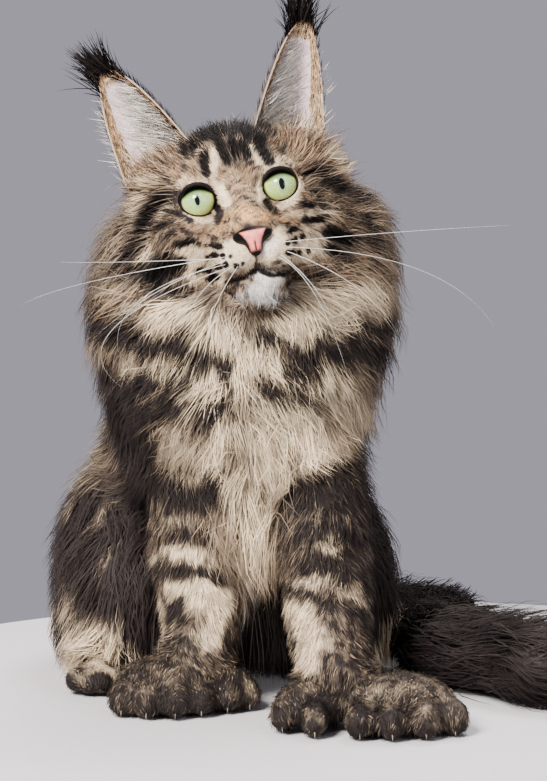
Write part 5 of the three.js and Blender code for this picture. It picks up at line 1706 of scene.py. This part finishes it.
def make_cheek_coat():
    """Longer hair that fans from the cheeks, the jaw and the back of the head over the ruff."""

    def weight(middle, normal, part):
        q = to_head(middle)
        cheek = ramp(38, 50, np.abs(q[:, 0])) * ramp(14, -20, q[:, 2]) * ramp(-52, -30, q[:, 1])
        under = ramp(-50, -66, q[:, 2]) * ramp(-62, -40, q[:, 1])
        behind = ramp(0.1, 0.5, normal[:, 1]) * 0.5
        temple = ramp(33, 42, np.abs(q[:, 0])) * ramp(34, 22, q[:, 2]) * ramp(-28, -12, q[:, 1])
        return np.clip(cheek + 0.8 * under + behind + temple, 0, 1) * (1 + 1.4 * temple * (q[:, 0] > 0))

    def measures(roots):
        q = to_head(roots)
        edge = ramp(28, 50, np.abs(q[:, 0]))
        temple = ramp(34, 44, q[:, 0]) * ramp(-22, 0, q[:, 2]) * ramp(34, 26, q[:, 2])
        return 17 + 17 * edge * ramp(15, -25, q[:, 2]) + 6 * temple, 4 + 6.5 * edge + 11 * temple

    grow_area("cheek_coat", "cheek", weight, measures, face_lie, 111, on_face=True, width=0.48, rings=3,
              slot="face_coat", ground=body_ground_with_face(), tuft=16, pull=0.5, wave=1.2, wander=0.26,
              ragged=1.2)


@functools.cache
def body_ground_with_face():
    field = blend(6, BODY_PARTS["trunk"], in_head(blend(6, skull_field(0.5), jaw_field(0.5))))
    return Ground(field, (-130, -140, 120), (100, 110, 380), 3.0)


@functools.cache
def part_of_skin():
    return part_at(body_skin()[0])


def is_part(part, *names):
    return np.isin(part, [k for k, name in enumerate(PART_NAMES) if name.split("_")[0] in names])


def rooted(count, seed, weight, on_face=False):
    """Root places on the face's skin or the body's, with the normal and the body part of each."""
    skin, part = (face_skin(), None) if on_face else (body_skin(), part_of_skin())
    return scattered(*skin, weight, count, np.random.default_rng(seed), part)


def grow_area(name, area, weight, measures, lie, seed, *, on_face=False, **ways):
    """Grows an area of coat: its roots, the hair's length and depth at each, and the strands."""
    count = getattr(sizes(), area + "_strands")
    roots, normals, part = rooted(count, seed, weight, on_face)
    length, depth = measures(roots)
    coat_of(name, roots, normals, part, lie, length=length, depth=depth, seed=seed + 1, **ways)


def clear_of_head(middle):
    """1 outside the head, where the trunk's hair shows."""
    return (in_head(blend(6, skull_field(0.3), jaw_field(2)))(middle) > -4).astype(float)


def breast_share(middle, normal):
    """Up to 1 on the trunk's front, where the ruff, breast and bib grow."""
    return ramp(75, 35, to_body(middle)[:, 1]) * ramp(0.5, 0.0, normal[:, 1])


def make_ruff_coat():
    """The ruff, breast and bib: long hair that fans down and out from the chin."""

    def weight(middle, normal, part):
        share = np.clip(breast_share(middle, normal) + ramp(200, 232, middle[:, 2]) * 0.6, 0, 1)
        return is_part(part, "trunk") * clear_of_head(middle) * share

    def measures(roots):
        coat = -trunk_field(1.0)(roots)
        aside = np.abs(to_body(roots)[:, 0])
        length = (25 + 0.85 * coat) * sizes().ruff_length / PLAIN_RUFF_LENGTH
        length = length * mix(0.62, 1.0, ramp(60, 130, roots[:, 2]))
        bib = ramp(26, 8, aside) * ramp(150, 120, roots[:, 2])
        return mix(length, 64.0 + 9 * ramp(24, 12, aside), bib), coat * 1.02

    grow_area("ruff_coat", "ruff", weight, measures, trunk_lie, 121, width=0.52, rings=3, slot="ruff_coat",
              ground=body_ground(), tuft=24, pull=0.62, wave=3.0, wander=0.34, tiers=0.6)


def make_belly_coat():
    """Dark hair that hangs between the forelegs, from the breast's underside to the floor."""

    def weight(middle, normal, part):
        x, y = middle[:, 0], middle[:, 1]
        near = ramp(28, 18, np.abs(x + 8)) * ramp(-66, -54, y) * ramp(30, 10, y)
        return is_part(part, "trunk") * near * ramp(100, 85, middle[:, 2]) * ramp(-0.1, -0.4, normal[:, 2])

    rng = np.random.default_rng(125)
    roots, normals, part = scattered(*body_skin(), weight, BELLY_STRANDS, rng, part_of_skin())
    down = np.array([0, 0, -1.0])
    ways = unit(down + 0.3 * rng.normal(size=roots.shape))
    bends = unit(down + 0.16 * rng.normal(size=roots.shape))
    length = np.clip(roots[:, 2] - rng.uniform(2, 14, len(roots)), 12, 95)
    lines = open_strands(roots + [0, 6, 2], ways, bends, length, 3)
    lines[..., 2] = np.maximum(lines[..., 2], 0.6)
    ups = unit(normals + [0, -1.5, 0] + 0.5 * rng.normal(size=roots.shape))
    ups = np.repeat(ups[:, None], lines.shape[1], 1)
    marks = np.clip(np.array([[0.95, 0, 0.08, 0]]) + rng.normal(size=(len(roots), 4)) * 0.05, 0, 1)
    width = np.full(len(roots), 0.8)
    add_coat("belly_coat", lines, ups, width, width * 0.4, marks, unwrap(roots, normals, part),
             rng.random(len(roots)))


def make_back_coat():
    """The back, flanks and rump."""

    def weight(middle, normal, part):
        behind = 1 - np.clip(breast_share(middle, normal), 0, 1)
        return is_part(part, "trunk") * clear_of_head(middle) * behind * ramp(4, 14, middle[:, 2])

    def measures(roots):
        coat = -trunk_field(1.0)(roots)
        return 34 + 0.7 * coat, coat * 0.98

    grow_area("back_coat", "back", weight, measures, trunk_lie, 131, width=0.85, rings=3, slot="body_coat",
              ground=body_ground(), tuft=20, pull=0.55, wave=1.8, wander=0.26)


def make_thigh_coat():
    def weight(middle, normal, part):
        ahead = ramp(0.3, -0.4, normal[:, 1])
        return is_part(part, "thigh") * ramp(3, 12, middle[:, 2]) * (0.6 + 0.6 * ahead)

    def measures(roots):
        return np.minimum(42, roots[:, 2] * 1.05 + 8), THIGH_COAT * (1 - CORE_SHARE)

    grow_area("thigh_coat", "thigh", weight, measures, thigh_lie, 141, width=0.62, rings=3, slot="body_coat",
              ground=body_ground(), tuft=24, pull=0.65, wave=2.2, wander=0.26, tiers=0.5)


def make_leg_coat():
    """The forelegs' hair, shorter towards the paws."""

    def weight(middle, normal, part):
        return is_part(part, "foreleg") * (0.45 + 0.9 * ramp(0.3, -0.4, normal[:, 1]))

    def measures(roots):
        return mix(8, 17, ramp(40, 140, roots[:, 2])), mix(4.5, 7.0, ramp(40, 120, roots[:, 2]))

    grow_area("leg_coat", "leg", weight, measures, leg_lie, 151, width=0.45, rings=2, slot="leg_coat",
              ground=body_ground(), tuft=14, pull=0.35, wave=0.4, wander=0.17, tick=0.16, ragged=2.0)


@functools.cache
def feet_ground():
    parts = [BODY_PARTS[k] for k in PART_NAMES if "paw" in k or "foot" in k or "foreleg" in k]
    return Ground(blend(8, *parts), (-150, -190, -8), (150, 150, 60), 2.5)


def make_paw_coat():
    def weight(middle, normal, part):
        shown = ramp(1.5, 5, middle[:, 2]) * (0.4 + 0.9 * ramp(0.5, -0.5, normal[:, 1]))
        return (is_part(part, "paw") + 0.8 * is_part(part, "hind")) * shown

    roots, normals, part = rooted(sizes().paw_strands, 161, weight)
    length = mix(4.2, 7.0, ramp(10, 30, roots[:, 2])) + 3.5 * is_part(part, "hind")
    for name, kind, lie in (("front_paw_coat", "paw", paw_lie), ("hind_foot_coat", "hind", foot_lie)):
        here = is_part(part, kind)
        coat_of(name, roots[here], normals[here], part[here], lie, length=length[here], depth=2.6, width=0.45,
                rings=2, seed=162, slot="leg_coat", ground=feet_ground(), tuft=10, pull=0.3, wander=0.16,
                ragged=1.0, tick=0.2)


def make_tail_coat():
    def weight(middle, normal, part):
        return is_part(part, "tail") * ramp(1, 6, middle[:, 2])

    def measures(roots):
        coat = -tail_field(1.0)(roots)
        return 30 + 0.9 * coat, coat

    grow_area("tail_coat", "tail", weight, measures, tail_lie, 171, width=0.7, rings=3, slot="tail_coat",
              ground=body_ground(), tuft=22, pull=0.55, wave=2.4, wander=0.28)


# Whiskers and claws: each whisker has a root in the head's frame, and the places that it bends
# through and ends at in the front view, with how far forward these lie
WHISKERS = [
    ([-17, -64, -36], (-114.6, 253.6), (-157.1, 239.2), -70),
    ([-18, -63, -38], (-77.2, 244.8), (-113.4, 217.3), -84),
    ([-18, -62, -40], (-83.4, 242.3), (-97.1, 209.8), -92),
    ([-17, -62, -42], (-100.9, 223.6), (-94.6, 187.3), -92),
    ([-14, -65, -42], (-48.4, 242.3), (-54.7, 216.1), -100),
    ([-20, -60, -36], (-95.9, 266), (-133.4, 266), -70),
    ([-12, -66, -43], (-37.2, 236.1), (-42.2, 211.1), -104),
    ([18, -64, -34], (79, 284.7), (149, 289), -60), ([18, -63, -37], (91.5, 261), (138.4, 224.8), -70),
    ([17, -63, -39], (54, 248.6), (80.3, 216.1), -88),
    ([14, -64, -41], (26.5, 248.6), (40.3, 221.1), -98),
    ([12, -65, -42], (27.8, 242.3), (49, 186), -98),
]


def make_whiskers():
    """White whiskers on the pads and brows, thick at the root and drawn out to nothing."""
    shapes = []
    thick = sizes().whisker_thickness * 500
    for root, through, end, y in WHISKERS:
        a = head_point(root)
        b, c = behind_view(through, y - 12), behind_view(end, y)
        b = 2 * b - (a + c) / 2
        t = np.linspace(0, 1, 26)[:, None]
        line = (1 - t) ** 2 * a + 2 * t * (1 - t) * b + t * t * c
        radius = thick * (1 - 0.92 * t[:, 0] ** 1.2)
        shapes.append(tube_along(line, radius, sides=6, up=[0.1, 1, 0.2]))
    plain_piece("whiskers", joined(shapes), whisker_material())


def make_claws():
    """Pale claws that just show from their sheaths at the tips of the front toes."""
    shapes = []
    for paw in PAW.values():
        for x, y, r in paw["toes"]:
            tip = y - r * TOE["long"]
            t = np.linspace(0, 1, 9)
            line = np.stack([x + 0 * t, tip + 7.0 - 5.6 * t, 6.0 - 0.9 * t - 2.8 * t * t], 1)
            shapes.append(tube_along(line, 0.6 * (1 - 0.85 * t**1.3), sides=8, up=[1, 0, 0.01]))
    plain_piece("claws", joined(shapes), leather_material("claw_horn"))


# ---- stage


def stage_material(name, colour, scale, height):
    made, w, shader = new_material(name)
    fine = w.noise(scale, 5.0, 0.65, w.place())
    low = tuple(0.93 * v for v in colour)
    w.feed(shader, {"Base Color": w.blend(fine, low, colour), "Normal": w.bump(fine, 0.35, height),
                    "Roughness": 0.9, "Specular IOR Level": 0.1})
    return made


def floor_disc(name, radius, edge, material):
    """A round floor with a rolled edge, its middle under the cat."""
    lean = np.linspace(0, math.pi / 2, 9)
    profile = [(r, 0.0) for r in (0.01, 0.3 * radius, 0.6 * radius)]
    profile += [(radius - edge + edge * math.sin(a), edge * math.cos(a) - edge) for a in lean]
    profile.append((radius, -edge * 2))
    turn = np.linspace(0, 2 * math.pi, 160, endpoint=False)
    points = [(r * math.cos(a) + 70, r * math.sin(a) - 50, z) for r, z in profile for a in turn]
    n = len(turn)
    faces = [(i * n + j, (i + 1) * n + j, (i + 1) * n + (j + 1) % n, i * n + (j + 1) % n)
             for i in range(len(profile) - 1) for j in range(n)]
    mesh = bpy.data.meshes.new(name)
    mesh.from_pydata([tuple(metres(p)) for p in points], [], faces)
    mesh.materials.append(material)
    mesh.polygons.foreach_set("use_smooth", np.ones(len(faces), bool))
    disc = new_thing(name, mesh)


def add_light(name, at, target, size, power, colour):
    data = bpy.data.lights.new(name, "AREA")
    data.shape = "DISK"
    data.size, data.energy, data.color = size, power, colour
    lamp = new_thing(name, data)
    at, target = Vector(metres(at)), Vector(metres(target))
    lamp.location = at
    lamp.rotation_euler = (target - at).to_track_quat("-Z", "Y").to_euler()


def make_stage():
    """A pale floor before a grey backdrop, soft light from high at the front left, and the camera."""
    c = looks()
    floor_disc("floor", 400, 16, stage_material("floor_cloth", tuple(c.floor), 220.0, 0.0015))
    add_light("key_light", (-800, -1500, 1350), (0, -20, 190), 0.75, 138.0, (1.0, 0.97, 0.93))
    add_light("fill_light", (1300, -1400, 700), (20, -20, 190), 1.0, 12.0, (0.93, 0.96, 1.0))
    add_light("top_light", (200, 600, 1400), (0, 0, 200), 0.8, 24.0, (1.0, 0.98, 0.96))
    world = bpy.data.worlds.get("studio") or bpy.data.worlds.new("studio")
    world.use_nodes = True
    backdrop = world.node_tree.nodes["Background"].inputs
    backdrop["Color"].default_value, backdrop["Strength"].default_value = rgb(c.backdrop), 0.8
    bpy.context.scene.world = world
    data = bpy.data.cameras.new("camera")
    data.lens, data.sensor_width, data.sensor_fit = CAMERA["lens"], CAMERA["sensor"], "AUTO"
    data.clip_end = 30
    camera = new_thing("camera", data)
    camera.location = metres(CAMERA["at"])
    camera.rotation_euler = (math.radians(90 - CAMERA["pitch"]), 0, 0)
    bpy.context.scene.camera = camera


# ---- settings


def colour(name, words, default):
    return FloatVectorProperty(name=name, description=words, subtype="COLOR", size=3, min=0, max=1,
                               default=default)


class CatColours(bpy.types.PropertyGroup):
    """The coat's, eyes' and stage's colours."""

    ground_low: colour("Ground, deep", "Ticked ground of the coat where it is deepest", (0.090, 0.068, 0.055))
    ground_high: colour("Ground, light", "Ticked ground of the coat where it is lightest", (0.45, 0.325, 0.215))
    pale: colour("Pale", "Cream of the muzzle, brows and ruff", (1.0, 0.785, 0.53))
    warm: colour("Warm", "Orange brown of the nose's bridge and warm ground", (0.84, 0.44, 0.18))
    white: colour("White", "Chin and bib", (0.95, 0.91, 0.86))
    dark: colour("Dark", "Black of the stripes", (0.0025, 0.002, 0.002))
    umber: colour("Umber", "Chocolate of the haunches and tail", (0.034, 0.026, 0.025))
    # mixed in towards the hair's roots: partly the grey undercoat, partly painted shade among the strands
    root: colour("Root", "Grey of the hair next to the skin", (0.06, 0.047, 0.04))
    iris: colour("Iris", "Green of the eyes", (0.17, 0.33, 0.13))
    iris_light: colour("Iris, light", "Pale fibres of the eyes", (0.48, 0.68, 0.28))
    iris_rim: colour("Iris, rim", "Yellow green towards the iris's edge", (0.62, 0.70, 0.15))
    floor: colour("Floor", "Pale cloth of the floor", (0.66, 0.63, 0.64))
    backdrop: colour("Backdrop", "Grey behind the cat", (0.475, 0.46, 0.53))


def count(name, words, default):
    return IntProperty(name=name, description=words, min=100, max=60000, default=default)


def length(name, words, default):
    return FloatProperty(name=name, description=words, unit="LENGTH", min=0.0001, max=0.2, default=default)


class CatSizes(bpy.types.PropertyGroup):
    """How long and how dense the coat is, and the eyes' irises."""

    face_strands: count("Face strands", "How many short hairs the face has", 29500)
    cheek_strands: count("Cheek strands", "How many hairs fan from the cheeks", 8300)
    ruff_strands: count("Ruff strands", "How many long hairs the ruff, breast and bib have", 25200)
    back_strands: count("Back strands", "How many hairs the back, flanks and rump have", 5700)
    thigh_strands: count("Thigh strands", "How many hairs the thighs have", 7500)
    leg_strands: count("Leg strands", "How many hairs the forelegs have", 13000)
    paw_strands: count("Paw strands", "How many hairs the paws and feet have", 10500)
    tail_strands: count("Tail strands", "How many hairs the tail has", 6700)
    face_length: length("Face length", "Length of the hair on the forehead", PLAIN_FACE_LENGTH)
    ruff_length: length("Ruff length", "Length of the hair of the ruff", PLAIN_RUFF_LENGTH)
    iris_radius: length("Iris radius", "Half of the width of the iris", 0.0098)
    whisker_thickness: length("Whisker thickness", "Width of a whisker at its root", 0.0003)


# ---- operators


def operator(idname, label, words, *steps):
    """An operator that builds one group of pieces."""

    def execute(self, context):
        for step in steps:
            step()
        return {"FINISHED"}

    name = "CAT_OT_" + idname
    return type(name, (bpy.types.Operator,), {
        "bl_idname": "cat." + idname, "bl_label": label, "bl_options": {"REGISTER", "UNDO"},
        "__doc__": words, "execute": execute,
    })


def both(step):
    return [functools.partial(step, side) for side in SIDES]


OPERATORS = [
    operator("skin", "Skin", "Build the skin of the face and body", make_skin),
    operator("eyes", "Eyes", "Build the eyes and the dark rims of their lids", *both(make_eye), make_lids),
    operator("nose", "Nose", "Build the nose's leather", make_nose),
    operator("ears", "Ears", "Build the ears' sheets and their hair", *both(make_ear), *both(make_ear_coat)),
    operator("face_coat", "Face coat", "Grow the short hair of the face", make_face_coat),
    operator("cheek_coat", "Cheek coat", "Grow the hair of the cheeks, jaw and nape", make_cheek_coat),
    operator("ruff_coat", "Ruff coat", "Grow the ruff, breast, bib and belly", make_ruff_coat, make_belly_coat),
    operator("back_coat", "Back coat", "Grow the back, flanks and rump", make_back_coat),
    operator("thigh_coat", "Thigh coat", "Grow the thighs' hair", make_thigh_coat),
    operator("leg_coat", "Leg coat", "Grow the hair of the forelegs", make_leg_coat),
    operator("paw_coat", "Paw coat", "Grow the hair of the paws and feet", make_paw_coat),
    operator("tail_coat", "Tail coat", "Grow the tail's brush", make_tail_coat),
    operator("whiskers", "Whiskers", "Build the whiskers", make_whiskers),
    operator("claws", "Claws", "Build the claws of the front toes", make_claws),
    operator("stage", "Stage", "Build the floor, backdrop, lights and camera", make_stage),
]


class CAT_PT_pieces(bpy.types.Panel):
    """Lists the cat's pieces, sizes and colours."""

    bl_label = "Maine Coon cat"
    bl_idname = "CAT_PT_pieces"
    bl_space_type = "VIEW_3D"
    bl_region_type = "UI"
    bl_category = "Cat"

    def draw(self, context):
        column = self.layout.column(align=True)
        for made in OPERATORS:
            column.operator(made.bl_idname)
        for group in (context.scene.cat_sizes, context.scene.cat_colours):
            box = self.layout.box()
            for name in group.__annotations__:
                box.prop(group, name)


CLASSES = [CatColours, CatSizes, *OPERATORS, CAT_PT_pieces]


def register():
    for made in CLASSES:
        bpy.utils.register_class(made)
    bpy.types.Scene.cat_colours = PointerProperty(type=CatColours)
    bpy.types.Scene.cat_sizes = PointerProperty(type=CatSizes)


def unregister():
    del bpy.types.Scene.cat_sizes
    del bpy.types.Scene.cat_colours
    for made in reversed(CLASSES):
        bpy.utils.unregister_class(made)


def main():
    register()
    for made in OPERATORS:
        getattr(bpy.ops.cat, made.bl_idname.split(".")[1])()


if __name__ == "__main__":
    main()
